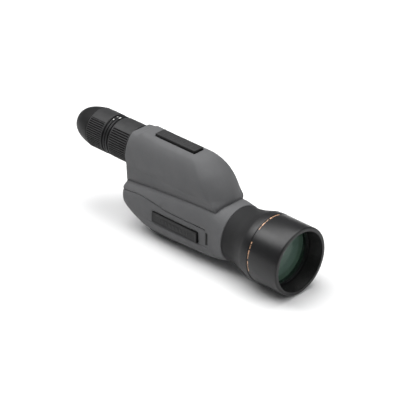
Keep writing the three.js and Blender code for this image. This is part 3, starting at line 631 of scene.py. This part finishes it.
ARMOUR = armour_rubber()
PAD = pad_rubber()
GRIP = grip_rubber("grip_rubber", 0.018, 0.024, 0.27)
CUP = grip_rubber("eyecup_rubber", 0.0065, 0.009, 0.2)
BLACK = black_anodised()
FLAT = flat_black()
PAD_WALL_SHADE = pad_wall_shade()
MATTE = matte_black()
GOLD = paint("gold_paint", (0.6, 0.34, 0.2))
WHITE = paint("white_paint", (0.42, 0.42, 0.41))
ALLOY = bare_metal("cast_alloy", (0.45, 0.455, 0.46), 0.5, (1, 1, 1))
STEEL = bare_metal("steel", (0.58, 0.585, 0.6), 0.32, (1, 0.1, 0.1))
BRASS = bare_metal("brass", (0.62, 0.44, 0.2), 0.34, (1, 0.1, 0.1))
NITRILE = seal_rubber()
COATED = glass("coated_glass", (0.035, 0.07, 0.05), (0.031, 0.063, 0.045), 0.3)
# Painted reflection: the rear lens is opaque bright green for the studio light seen in its coating, and
# darker near its rim for the dark cell seen in it.
GREEN = glass("lens_painted_reflection", (0.15, 0.225, 0.19), (0.135, 0.205, 0.17), 1.0, 0.15)
EDGE_GREEN = glass("lens_ring_painted_reflection", (0.11, 0.18, 0.135), (0.098, 0.16, 0.12), 1.0, 0.15)
CLEAR = glass("optical_glass", (0.5, 0.55, 0.57), (0.42, 0.47, 0.5), 0.35)

SLOTS = {
    "armour_rubber": ARMOUR, "pad_rubber": PAD, "grip_rubber": GRIP, "black_anodised": BLACK,
    "cast_alloy": ALLOY, "steel": STEEL, "brass": BRASS, "seal_rubber": NITRILE,
    "coated_glass": COATED, "optical_glass": CLEAR,
}


def finish_piece(piece, slot, body, *nodes):
    """Gives a piece its main material if it has none, puts it on its body and hides the CAD nodes that it
    stands for.
    """
    if not piece.data.materials:
        piece.data.materials.append(SLOTS[slot])
    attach(piece, body)
    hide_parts(*nodes)


def repaint(piece, material, chosen, ground=None):
    """Gives the faces whose middles are chosen another material than the ground."""
    if not piece.data.materials:
        piece.data.materials.append(ground or BLACK)
    piece.data.materials.append(material)
    number = len(piece.data.materials) - 1
    centres = np.array([polygon.center[:] for polygon in piece.data.polygons]) / MM
    picked = chosen(centres)
    for polygon, yes in zip(piece.data.polygons, picked):
        if yes:
            polygon.material_index = number


def about_axis(centres, axis_z):
    """Distance from a line along X, and the angle in degrees from the top towards the right."""
    up = centres[:, 2] - axis_z
    return np.hypot(centres[:, 1], up), np.degrees(np.arctan2(-centres[:, 1], up))


# ------------------------------------------------------------------ casing
BORE_R = 26.5                       # openings that the barrel, eyepiece and focus bushing pass through
EYE_BORE_R = 17
BUSHING_BORE_R = 4.7
REAR_CUT_X = -45                    # the two rear openings reach from the rear end to here
PURGE_X = middle("purge_screw")[0]
PURGE_BORE_R = 3.3


def pocket(x, y, z, node):
    """The recess that a pad lies in."""
    low, high = span(node)
    lift = np.array([0, 0, AXIS_Z])
    return rounded_box(x, y, z, low - lift - GAP, high - lift + GAP, 1.0)


def armour_field(x, y, z):
    z = z - AXIS_Z
    shell = armour_skin(x, y, z)
    for node in ("top_pad", "side_pad_right", "side_pad_left"):
        shell = smooth_max(shell, -pocket(x, y, z, node), 0.5)
    low, high = FOOT_LOW - GAP, FOOT_HIGH + GAP
    foot = rounded_box(x, y, z, (low[0], low[1], -60), (high[0], high[1], -20), 1.5)
    shell = smooth_max(shell, -foot, 0.5)
    inside = body_form(x, y, z) + ARMOUR_THICK
    shell = np.maximum(shell, -inside)
    front = np.maximum(np.hypot(y, z) - BORE_R, BARREL_REAR - x)
    rear = np.maximum(np.hypot(y, z - (EYE_Z - AXIS_Z)) - EYE_BORE_R, x - REAR_CUT_X)
    bushing = np.maximum(np.hypot(y, z) - BUSHING_BORE_R, x - REAR_CUT_X)
    purge = np.maximum(np.hypot(x - PURGE_X, y) - PURGE_BORE_R, z)
    for hole in (front, rear, bushing, purge):
        shell = np.maximum(shell, -hole)
    return shell


ARMOUR_STEP = 0.8


def make_armour():
    piece = sculpted("rubber_armour_skin", armour_field, ARMOUR_LOW, ARMOUR_HIGH, ARMOUR_STEP)

    def slot_shade_faces(centres):
        across = np.abs(centres[:, 0] - SLOT_X) < SLOT_WIDE / 2 - 0.1
        height = centres[:, 2] - AXIS_Z
        upright = (height > SLOT_LOW + 0.3) & (height < SLOT_HIGH - 0.3)
        return across & upright & (np.abs(centres[:, 1]) > FLANK_Y + 4)

    # Painted shade: the slot's faces get the dark wall material.
    repaint(piece, PAD_WALL_SHADE, slot_shade_faces, ARMOUR)
    finish_piece(piece, "armour_rubber", "body", "rubber_armour")


PAD_RIM, PAD_SINK = 1.8, 0.45       # each pad's face is sunk inside a narrow rim
BAR_PITCH, BAR_HALF_WIDE, BAR_HALF_TALL = 5.2, 1.5, 1.7
BAR_ROW_HALF = 20.5


def pad_field(node, axis):
    """A rubber insert with a bevelled rim and a row of raised bars in its face."""
    low, high = span(node)
    centre = (low + high) / 2
    sign = 1 if axis == 2 or centre[1] > 0 else -1
    face = high[axis] if sign > 0 else -low[axis]
    across = 1 if axis == 2 else 2
    half_across = (high[across] - low[across]) / 2

    def field(x, y, z):
        grid = (x, y, z)
        block = rounded_box(x, y, z, low, high, 0.9)
        depth = face - sign * grid[axis]
        u = x - centre[0]
        v = grid[across] - centre[across]
        rim = rounded_panel(
            u, v, (low[0] - centre[0] + PAD_RIM, PAD_RIM - half_across),
            (high[0] - centre[0] - PAD_RIM, half_across - PAD_RIM), 1.2)
        block = smooth_max(block, PAD_SINK * line_step(rim, 0.8) - depth, 0.3)
        bars = np.abs((u / BAR_PITCH + 0.5) % 1 - 0.5) * BAR_PITCH - BAR_HALF_WIDE
        row = np.maximum(np.maximum(bars, np.abs(v) - BAR_HALF_TALL), np.abs(u) - BAR_ROW_HALF)
        raised = np.maximum(row, np.abs(depth - 0.5) - 0.32)
        block = smooth_min(block, raised, 0.3)
        inner = body_form(x, y, z - AXIS_Z) + ARMOUR_THICK
        return np.maximum(block, -inner)

    return field


def make_pads():
    step = 0.45
    for node, axis in (("top_pad", 2), ("side_pad_right", 1), ("side_pad_left", 1)):
        piece = sculpted(node + "_moulding", pad_field(node, axis), *span(node), step)
        piece.data.materials.append(PAD)
        piece.data.materials.append(PAD_WALL_SHADE)
        # The pads' upright sides get the darker wall material: partly their own darker rubber, partly
        # painted shade.
        for polygon in piece.data.polygons:
            polygon.material_index = int(abs(polygon.normal[axis]) < 0.6)
        finish_piece(piece, "pad_rubber", "body", node)


SOCKET_X, SOCKET_R, SOCKET_DEEP = 6, 3.175, 9       # the 1/4-20 tripod thread
THREAD_PITCH, THREAD_DEEP = 1.27, 0.22
PIN_X, PIN_R, PIN_DEEP = -9, 2.1, 4                 # the hole for a head's anti-twist pin
SCREW_BORE_R, SCREW_BORE_DEEP = 2.7, 2.8
TREAD_PITCH, TREAD_HALF, TREAD_DEEP = 2.6, 0.35, 0.35


def foot_field(x, y, z):
    """The tripod foot: grooves in its underside, a threaded socket, a pin hole and two screw holes."""
    floor = FOOT_LOW[2]
    block = rounded_box(x, y, z, FOOT_LOW, FOOT_HIGH + np.array([0, 0, 4]), 1.2)
    tread = np.abs((y / TREAD_PITCH + 0.5) % 1 - 0.5) * TREAD_PITCH - TREAD_HALF
    groove = np.minimum(TREAD_DEEP - tread * 0.8, TREAD_DEEP) * (z < floor + 1)
    block = smooth_max(block, groove - (z - floor), 0.3)
    turn = np.arctan2(y, x - SOCKET_X)
    thread = THREAD_DEEP * np.sin(2 * math.pi * z / THREAD_PITCH + turn)
    lead_in = np.maximum(1.2 - (z - floor), 0)
    socket = np.maximum(np.hypot(x - SOCKET_X, y) - SOCKET_R + thread - lead_in, z - SOCKET_DEEP)
    pin = np.maximum(np.hypot(x - PIN_X, y) - PIN_R, z - PIN_DEEP)
    holes = np.minimum(socket, pin)
    for screw in ("foot_screw_1", "foot_screw_2"):
        at = middle(screw)
        bore = np.hypot(x - at[0], y - at[1]) - SCREW_BORE_R
        holes = np.minimum(holes, np.maximum(bore, z - SCREW_BORE_DEEP))
    block = smooth_max(block, -holes, 0.3)
    inner = body_form(x, y, z - AXIS_Z) + ARMOUR_THICK
    return np.maximum(block, -inner)


def make_foot():
    step = 0.4
    piece = sculpted("tripod_foot_block", foot_field, FOOT_LOW, FOOT_HIGH, step)
    finish_piece(piece, "black_anodised", "body", "tripod_foot")


def make_screw(node, socket_r):
    """A cap screw standing upright, its head with a six-sided socket facing down."""
    low, high = span(node)
    centre = middle(node)
    head_r = (high[0] - low[0]) / 2
    head = 0.28 * head_r
    neck = low[2] + 0.8 * head_r
    hexagon = socket_r * math.cos(math.pi / 6)
    outline = rounded([
        (low[2] + head, 0), (low[2] + head, socket_r * 0.7), (low[2], socket_r), (low[2], head_r, head),
        (neck, head_r, 0.2), (neck, 0.52 * head_r), (high[2], 0.52 * head_r, 0.3), (high[2], 0),
    ])

    def relief(x, radius, angle):
        inside = x < neck - 0.1 and 0 < radius <= socket_r + 1e-6
        if not inside:
            return np.full(len(angle), radius)
        flat = (angle + math.pi / 6) % (math.pi / 3) - math.pi / 6
        return (hexagon if radius == socket_r else radius * 0.9) / np.cos(flat)

    piece = turned(node + "_hex", outline, 0, 48, relief)
    for vertex in piece.data.vertices:
        x, y, z = vertex.co
        vertex.co = (centre[0] * MM + z, centre[1] * MM + y, x)
    piece.data.flip_normals()
    finish_piece(piece, "steel", "body", node)


# ------------------------------------------------------------------ objective
NECK_X, NECK_R = BODY_FRONT + GAP, 30.7
BELL_X = 134.5                      # the flare ends and the bell begins
GROOVE_X, GROOVE_FLOOR_R = RIM_X - 39, BELL_R - 0.7
SPIGOT_R = 25.5                     # the part of the barrel inside the housing
BAFFLE_X = ends("barrel_baffle")[0] - GAP
LENS_SEAT_X, LENS_SEAT_R = ends("objective_rear_lens")[0] + GAP, 32.8
HOOD_X, HOOD_R = ends("objective_retaining_ring")[1] + GAP, 33.1
HOOD_RINGS = np.arange(161, 175, 1.5)       # stations of the fine rings that stop stray light
LENS_EDGE_R = 26.5                  # the rear lens is painted darker outside this radius, a painted reflection of its dark cell


def barrel_outline():
    outside = smooth_curve(
        [NECK_X, 99, 104, 113, 122.8, 129, BELL_X, BELL_X + 2.5],
        [NECK_R, 30.75, 31.0, 32.5, 35.4, 37.2, BELL_R, BELL_R])
    shaped = [(x, float(outside(x))) for x in np.linspace(BELL_X, NECK_X + 0.9, 32)]
    groove = [
        (GROOVE_X + 1.3, BELL_R, 0.3), (GROOVE_X + 1.0, GROOVE_FLOOR_R, 0.2),
        (GROOVE_X + 0.6, GROOVE_FLOOR_R), (GROOVE_X - 0.6, GROOVE_FLOOR_R),
        (GROOVE_X - 1.0, GROOVE_FLOOR_R, 0.2), (GROOVE_X - 1.3, BELL_R, 0.3),
    ]
    hood = []
    for x in HOOD_RINGS:
        hood += [(x, HOOD_R, 0.2), (x + 0.5, HOOD_R + 0.3, 0.1), (x + 0.9, HOOD_R, 0.2)]
    return rounded([
        (RIM_X, HOOD_R, 0.4), (RIM_X, BELL_R, 1.7), *groove, *shaped,
        (NECK_X, NECK_R, 0.4), (NECK_X, SPIGOT_R), (BARREL_REAR, SPIGOT_R), (BARREL_REAR, 20.5),
        (BAFFLE_X, 23.5), (BAFFLE_X, SPIGOT_R), (LENS_SEAT_X, 28.5), (LENS_SEAT_X, LENS_SEAT_R),
        (HOOD_X, LENS_SEAT_R), (HOOD_X, HOOD_R), *hood,
    ])


def gold_dash(angle):
    """Where the groove's gold ring is drawn: broken dashes with one long plain gap."""
    dash = ((angle % 1.9) < 1.3) & ((angle % 8.7) < 7.4)
    runs = ((-20, 14), (17, 33), (56, 85), (89, 109))
    return dash & np.any([(angle > low) & (angle < high) for low, high in runs], axis=0)


def lens_outline(node, front, back):
    """A lens whose faces stand out by front and back at its middle."""
    x0, x1, radius = ends(node)
    face = [(x1 - front * r * r, radius * r) for r in np.linspace(0, 0.98, 24)]
    rear = [(x0 + back * r * r, radius * r) for r in np.linspace(0.98, 0, 24)]
    return [*face, (face[-1][0] - 0.3, radius), (rear[0][0] + 0.3, radius), *rear]


def make_objective():
    barrel = turned("objective_barrel_turned", barrel_outline(), AXIS_Z, 400)

    def in_groove(centres):
        radius, angle = about_axis(centres, AXIS_Z)
        floor = (np.abs(centres[:, 0] - GROOVE_X) < 0.7) & (radius > BELL_R - 1)
        return floor & gold_dash(angle)

    def inside_hood(centres):
        radius, _ = about_axis(centres, AXIS_Z)
        return (radius < HOOD_R + 0.5) & (centres[:, 0] < RIM_X - 0.6) & (centres[:, 0] > BELL_X - 4.5)

    repaint(barrel, GOLD, in_groove)
    repaint(barrel, MATTE, inside_hood)
    finish_piece(barrel, "black_anodised", "body", "objective_barrel")

    outline = lens_outline("objective_front_lens", 3, 2.2)
    lens = turned("objective_front_lens_ground", outline, AXIS_Z, 128)
    finish_piece(lens, "coated_glass", "body", "objective_front_lens")
    outline = lens_outline("objective_rear_lens", -2.2, 0.6)
    rear = turned("objective_rear_lens_ground", outline, AXIS_Z, 128)
    # Painted reflection: bright green in the middle, darker green outside LENS_EDGE_R.
    repaint(rear, EDGE_GREEN, lambda centres: about_axis(centres, AXIS_Z)[0] > LENS_EDGE_R, GREEN)
    finish_piece(rear, "optical_glass", "body", "objective_rear_lens")

    x0, x1, radius = ends("objective_retaining_ring")

    def notched(x, r, angle):
        notch = np.abs((angle + math.pi / 4) % (math.pi / 2) - math.pi / 4) < 0.045
        return np.where(notch & (x > x1 - 1.1) & (r < radius - 0.8), r + 0.7, r)

    ring = turned("objective_retaining_ring_turned", rounded([
        (x0, radius - 1.2), (x0, radius), (x1, radius, 0.2), (x1, radius - 1.2, 0.4),
    ]), AXIS_Z, 240, notched)
    finish_piece(ring, "black_anodised", "body", "objective_retaining_ring")


# ------------------------------------------------------------------ eyepiece
FRONT_RIBS = 54
ZOOM_RIBS = 60
RIB_DEEP = 1.0
RIB_MARGIN = 1.2                    # the plain stretch at each end of a grip
RIB_SHARPNESS = 2.5
LAND = math.radians(36)             # half the smooth strip on top of each grip
EYE_TUBE_R = ends("eyepiece_barrel")[2]
EYE_NECK_R = 16                     # the eyepiece barrel's thin front end, inside the housing
ZOOM_TUBE_R = ends("eyecup_sleeve")[2]
ZOOM_SEAT_R = 20.2                  # the zoom ring under its grip
COLLAR_STEP = 2.6                   # width of the index collar's raised part
CUP_MOUTH_R = 13.2


def rib_valley(count, angle):
    """1 in the valleys between a number of ribs, 0 on top of them."""
    return 0.5 + 0.5 * np.tanh(RIB_SHARPNESS * np.cos(count * angle)) / math.tanh(RIB_SHARPNESS)


def ribbed(x0, x1, radius, count):
    """Ribs along X round a grip, fading out near its ends and missing from its smooth strip."""
    def relief(x, r, angle):
        if r < radius - 0.05 or not x0 < x < x1:
            return np.full(len(angle), r)
        along = smooth_step((x - x0 - RIB_MARGIN) / 0.7) * smooth_step((x1 - RIB_MARGIN - x) / 0.7)
        from_top = np.abs((angle + math.pi) % (2 * math.pi) - math.pi)
        return r - RIB_DEEP * along * rib_valley(count, angle) * (from_top > LAND)
    return relief


def make_grip(node, inner, count, body):
    x0, x1, radius = ends(node)
    steps = np.linspace(0, 1, 5)
    stations = [*(x0 + RIB_MARGIN + steps), *(x1 - RIB_MARGIN - steps[::-1])]
    outline = rounded([
        (x0, inner), (x0, radius, 0.9), *[(x, radius) for x in stations], (x1, radius, 0.9), (x1, inner)])
    grip = turned(node + "_ribbed", outline, EYE_Z, count * 10, ribbed(x0, x1, radius, count))
    finish_piece(grip, "grip_rubber", body, node)


def make_ring(node, inner, edge, body, grooves=()):
    """A plain turned ring with narrow grooves at some stations."""
    x0, x1, radius = ends(node)
    cuts = []
    for x in grooves:
        cuts += [
            (x - 0.35, radius, 0.1), (x - 0.2, radius - 0.5),
            (x + 0.2, radius - 0.5), (x + 0.35, radius, 0.1)]
    ring = turned(node + "_turned", rounded([
        (x0, inner), (x0, radius, edge), *cuts, (x1, radius, edge), (x1, inner),
    ]), EYE_Z, 180)
    finish_piece(ring, "black_anodised", body, node)


def marks(x0, x1, places, half_angle):
    """Outer faces of the eyepiece between two stations, near any of the given angles."""
    def chosen(centres):
        radius, angle = about_axis(centres, EYE_Z)
        near = np.any([np.abs(angle - place) < half_angle for place in places], axis=0)
        return near & (centres[:, 0] > x0) & (centres[:, 0] < x1) & (radius > 21.5)
    return chosen


def make_index_collar():
    x0, x1, radius = ends("index_collar")
    step = x0 + COLLAR_STEP
    inner, shoulder = EYE_TUBE_R + GAP, 20.9
    collar = turned("index_collar_turned", rounded([
        (x0, inner), (x0, radius, 0.3), (x0 + 0.5, radius), (step - 0.4, radius), (step, radius, 0.3),
        (step, shoulder, 0.2), (x1, shoulder, 0.2), (x1, inner),
    ]), EYE_Z, 360)
    repaint(collar, WHITE, marks(x0 + 0.4, step - 0.3, [0], 4.5), FLAT)
    finish_piece(collar, "black_anodised", "body", "index_collar")


def make_zoom_ring():
    x0, x1, radius = ends("zoom_ring")
    seat = ends("zoom_ring_grip")[1] + GAP
    inner, valley = ZOOM_TUBE_R + GAP, radius - 1.2
    zoom = turned("zoom_ring_turned", rounded([
        (x0, inner), (x0, ZOOM_SEAT_R), (seat, ZOOM_SEAT_R), (seat, radius, 0.2),
        (seat + 0.4, radius, 0.1), (seat + 0.6, valley, 0.2), (seat + 1.9, valley, 0.2),
        (seat + 2.1, radius, 0.2),
        (x1 - 1.9, radius), (x1 - 0.6, radius), (x1, radius, 0.3), (x1, inner),
    ]), EYE_Z, 360)
    repaint(zoom, WHITE, marks(x1 - 1.95, x1 - 0.55, (15, 0, -40, -75, -100, -120), 1.6), FLAT)
    finish_piece(zoom, "black_anodised", "zoom_ring", "zoom_ring")


def make_eyepiece_barrel():
    x0, x1, _ = ends("eyepiece_barrel")
    shoulder = BODY_REAR - GAP
    zoom_front = ends("zoom_ring")[1] + GAP
    zoom_rear = ends("zoom_ring")[0] - GAP
    bore_front = ends("zoom_cam_sleeve")[1] + GAP
    lens_front, lens_r = ends("field_lens")[1] + 0.8, ends("field_lens")[2] + GAP
    barrel = turned("eyepiece_barrel_turned", rounded([
        (x1, lens_r - 0.8), (x1, EYE_NECK_R), (shoulder, EYE_NECK_R), (shoulder, EYE_TUBE_R),
        (zoom_front, EYE_TUBE_R), (zoom_front, ZOOM_TUBE_R), (zoom_rear, ZOOM_TUBE_R, 0.2),
        (zoom_rear, 15.4), (x0, 15.4, 0.3), (x0, 13.1, 0.5), (bore_front, 13.1), (bore_front, lens_r),
        (lens_front, lens_r), (lens_front, lens_r - 0.8),
    ]), EYE_Z, 128)
    finish_piece(barrel, "black_anodised", "body", "eyepiece_barrel")


def make_eye_lens():
    x0, x1, radius = ends("eye_lens")
    face = [(x0 + 1.6 * r * r, radius * r) for r in np.linspace(0, 0.98, 20)]
    back = [(x1 - 1.2 * r * r, radius * r) for r in np.linspace(0.98, 0, 20)]
    lens = turned("eye_lens_ground", [*face, *back], EYE_Z, 96)
    finish_piece(lens, "optical_glass", "body", "eye_lens")


def make_eyepiece():
    make_grip("eyepiece_front_grip", EYE_TUBE_R + GAP, FRONT_RIBS, "body")
    make_index_collar()
    make_zoom_ring()
    make_grip("zoom_ring_grip", ZOOM_SEAT_R + GAP, ZOOM_RIBS, "zoom_ring")
    make_eyepiece_barrel()
    make_eye_lens()
    make_ring("eye_lens_retainer", 11.2, 0.2, "body")
    make_ring("eyecup_guide_ring", 15.7, 0.3, "eyecup_ring", (-118, -120.5, -123))
    make_ring("eyecup_sleeve", 16.9, 0.2, "eyecup")


def make_eyecup():
    x0, x1, radius = ends("eyecup_rubber")
    shoulder = (x1 - 16.7, 19.6)
    outside = []
    for t in np.linspace(0.04, 0.97, 40):
        outside.append((
            (1 - t) ** 2 * x1 + 2 * t * (1 - t) * shoulder[0] + t * t * x0,
            (1 - t) ** 2 * radius + 2 * t * (1 - t) * shoulder[1] + t * t * CUP_MOUTH_R))
    inner = ZOOM_TUBE_R + GAP
    floor = ends("eyecup_sleeve")[0] - GAP
    cup = turned("eyecup_rubber_moulding", rounded([
        (x1, inner), (x1, radius, 0.5), *outside, (x0, CUP_MOUTH_R, 0.6), (x0 + 0.6, 12.2, 0.4),
        (x0 + 3, 12.5, 0.8), (floor - 1.3, 15.2, 0.4), (floor, 15.4), (floor, inner),
    ]), EYE_Z, 160)
    cup.data.materials.append(CUP)
    finish_piece(cup, "grip_rubber", "eyecup", "eyecup_rubber")


# ------------------------------------------------------------------ focusing knob
SHAFT_BORE_R = 2.9
KNOB_RIBS = 36
KNURL_DEEP = 0.5


def make_focus_bushing():
    x0, x1, radius = ends("focus_bushing")
    flange = BODY_REAR - GAP
    tube_r = BUSHING_BORE_R - GAP
    bushing = turned("focus_bushing_turned", rounded([
        (x0, SHAFT_BORE_R), (x0, radius, 0.3), (flange, radius), (flange, tube_r), (x1, tube_r),
        (x1, SHAFT_BORE_R),
    ]), AXIS_Z, 64)
    finish_piece(bushing, "brass", "body", "focus_bushing")


def make_focus_knob():
    x0, x1, radius = ends("focus_knob")
    bore_end = ends("focus_shaft")[0] - GAP
    knob = turned("focus_knob_turned", rounded([
        (x0 + 0.8, 0), (x0 + 0.8, 5, 0.4), (x0, 6, 0.3), (x0, radius - 2, 0.4), (x0 + 1.4, radius, 0.4),
        (x1, radius), (x1, SHAFT_BORE_R), (bore_end, SHAFT_BORE_R), (bore_end, 0),
    ]), AXIS_Z, 96)
    finish_piece(knob, "black_anodised", "focus_knob", "focus_knob")


def make_focus_grip():
    inner = ends("focus_knob")[2] + GAP
    x0, x1, radius = ends("focus_knob_grip")

    def knurl(x, r, angle):
        if r < radius - 0.1 or not x0 < x < x1:
            return np.full(len(angle), r)
        return r - KNURL_DEEP * rib_valley(KNOB_RIBS, angle)

    skin = [(x, radius) for x in (x0 + 0.9, x0 + 1.5, x1 - 1.5, x1 - 0.9)]
    grip = turned("focus_knob_grip_ribbed", rounded([
        (x0, inner), (x0, radius - 0.4, 0.4), *skin, (x1, radius - 0.4, 0.4), (x1, inner),
    ]), AXIS_Z, KNOB_RIBS * 8, knurl)
    finish_piece(grip, "grip_rubber", "focus_knob", "focus_knob_grip")


# ------------------------------------------------------------------ CAD pieces that keep their shape
KEPT = {
    "cast_alloy": ["main_housing", "prism_bulkhead", "front_prism_cell", "prism_carriage",
                   "front_zoom_cell", "rear_zoom_cell"],
    "steel": ["guide_rod_right", "guide_rod_left", "front_prism_spring", "rear_prism_clip",
              "focus_shaft", "focus_set_screw", "zoom_drive_pin", "cell_screw_1", "cell_screw_2",
              "clip_screw_1", "clip_screw_2", "bulkhead_screw_1", "bulkhead_screw_2", "bulkhead_screw_3"],
    "brass": ["eyepiece_lock_nut", "zoom_cam_sleeve"],
    "black_anodised": ["objective_spacer", "barrel_baffle", "field_stop"],
    "seal_rubber": ["barrel_seal", "focus_shaft_seal", "eyepiece_seal"],
    "optical_glass": ["front_prism", "rear_prism", "field_lens", "front_zoom_lens", "rear_zoom_lens"],
}


def finish_kept_nodes():
    for slot, nodes in KEPT.items():
        for node in nodes:
            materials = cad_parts[node].data.materials
            materials.clear()
            materials.append(SLOTS[slot])


# ------------------------------------------------------------------ stage, light and camera
FLOOR_RINGS, FLOOR_SPOKES, FLOOR_REACH = 6, 48, 6000


def make_floor():
    finish = Finish("floor", (0.76, 0.76, 0.76), 0.85)
    finish.tint(finish.ramp(finish.noise(3, 3), 0.4, 0.7), (0.74, 0.74, 0.74))
    points, faces = [], []
    for i in range(FLOOR_RINGS + 1):
        radius = FLOOR_REACH * (i + 0.2) / FLOOR_RINGS
        for j in range(FLOOR_SPOKES):
            angle = 2 * math.pi * j / FLOOR_SPOKES
            points.append((radius * math.cos(angle), radius * math.sin(angle), 0))
    for i in range(FLOOR_RINGS):
        for j in range(FLOOR_SPOKES):
            k = (j + 1) % FLOOR_SPOKES
            near, far = i * FLOOR_SPOKES, (i + 1) * FLOOR_SPOKES
            faces.append([near + j, far + j, far + k, near + k])
    faces.append(list(range(FLOOR_SPOKES)))
    floor = make_piece("floor", points, faces)
    floor.data.materials.append(finish.done())


def make_light(name, place, target, size, power):
    light = bpy.data.lights.new(name, "AREA")
    light.shape = "RECTANGLE"
    light.size, light.size_y = size
    light.energy = power
    lamp = bpy.data.objects.new(name, light)
    bpy.context.scene.collection.objects.link(lamp)
    lamp.location = place
    lamp.rotation_euler = (Vector(target) - Vector(place)).to_track_quat("-Z", "Y").to_euler()


def make_lights():
    target = (0.02, 0, 0.06)
    make_light("overhead", (-0.2, 0.1, 1.6), target, (1.8, 1.4), 43)
    make_light("front", (1.4, 0.3, 1.1), target, (1.2, 1.0), 11)
    make_light("rear_right", (-0.8, -0.55, 1.15), target, (0.7, 0.5), 8)
    world = bpy.data.worlds.new("studio")
    world.use_nodes = True
    sky = world.node_tree.nodes["Background"]
    sky.inputs["Color"].default_value = (0.97, 0.98, 1, 1)
    sky.inputs["Strength"].default_value = 0.22
    bpy.context.scene.world = world


def make_camera():
    azimuth, elevation = math.radians(CAMERA_AZIMUTH), math.radians(CAMERA_ELEVATION)
    back = Vector((
        math.sin(azimuth) * math.cos(elevation), -math.cos(azimuth) * math.cos(elevation),
        math.sin(elevation)))
    right = Vector((math.cos(azimuth), math.sin(azimuth), 0))
    up = back.cross(right)
    rim = Vector((RIM_X, 0, AXIS_Z))
    data = bpy.data.cameras.new("camera")
    data.lens = CAMERA_LENS
    data.sensor_width = 36
    data.clip_end = 50
    camera = bpy.data.objects.new("camera", data)
    bpy.context.scene.collection.objects.link(camera)
    camera.location = (rim + back * CAMERA_AWAY + right * CAMERA_RIGHT + up * CAMERA_UP) * MM
    camera.rotation_euler = (-back).to_track_quat("-Z", "Y").to_euler()
    bpy.context.scene.camera = camera
    bpy.context.scene.view_settings.view_transform = "Standard"


make_armour()
make_pads()
make_foot()
for screw, socket in (("foot_screw_1", 1.3), ("foot_screw_2", 1.3), ("purge_screw", 1.5)):
    make_screw(screw, socket)
make_objective()
make_eyepiece()
make_eyecup()
make_focus_bushing()
make_focus_knob()
make_focus_grip()
finish_kept_nodes()
make_floor()
make_lights()
make_camera()
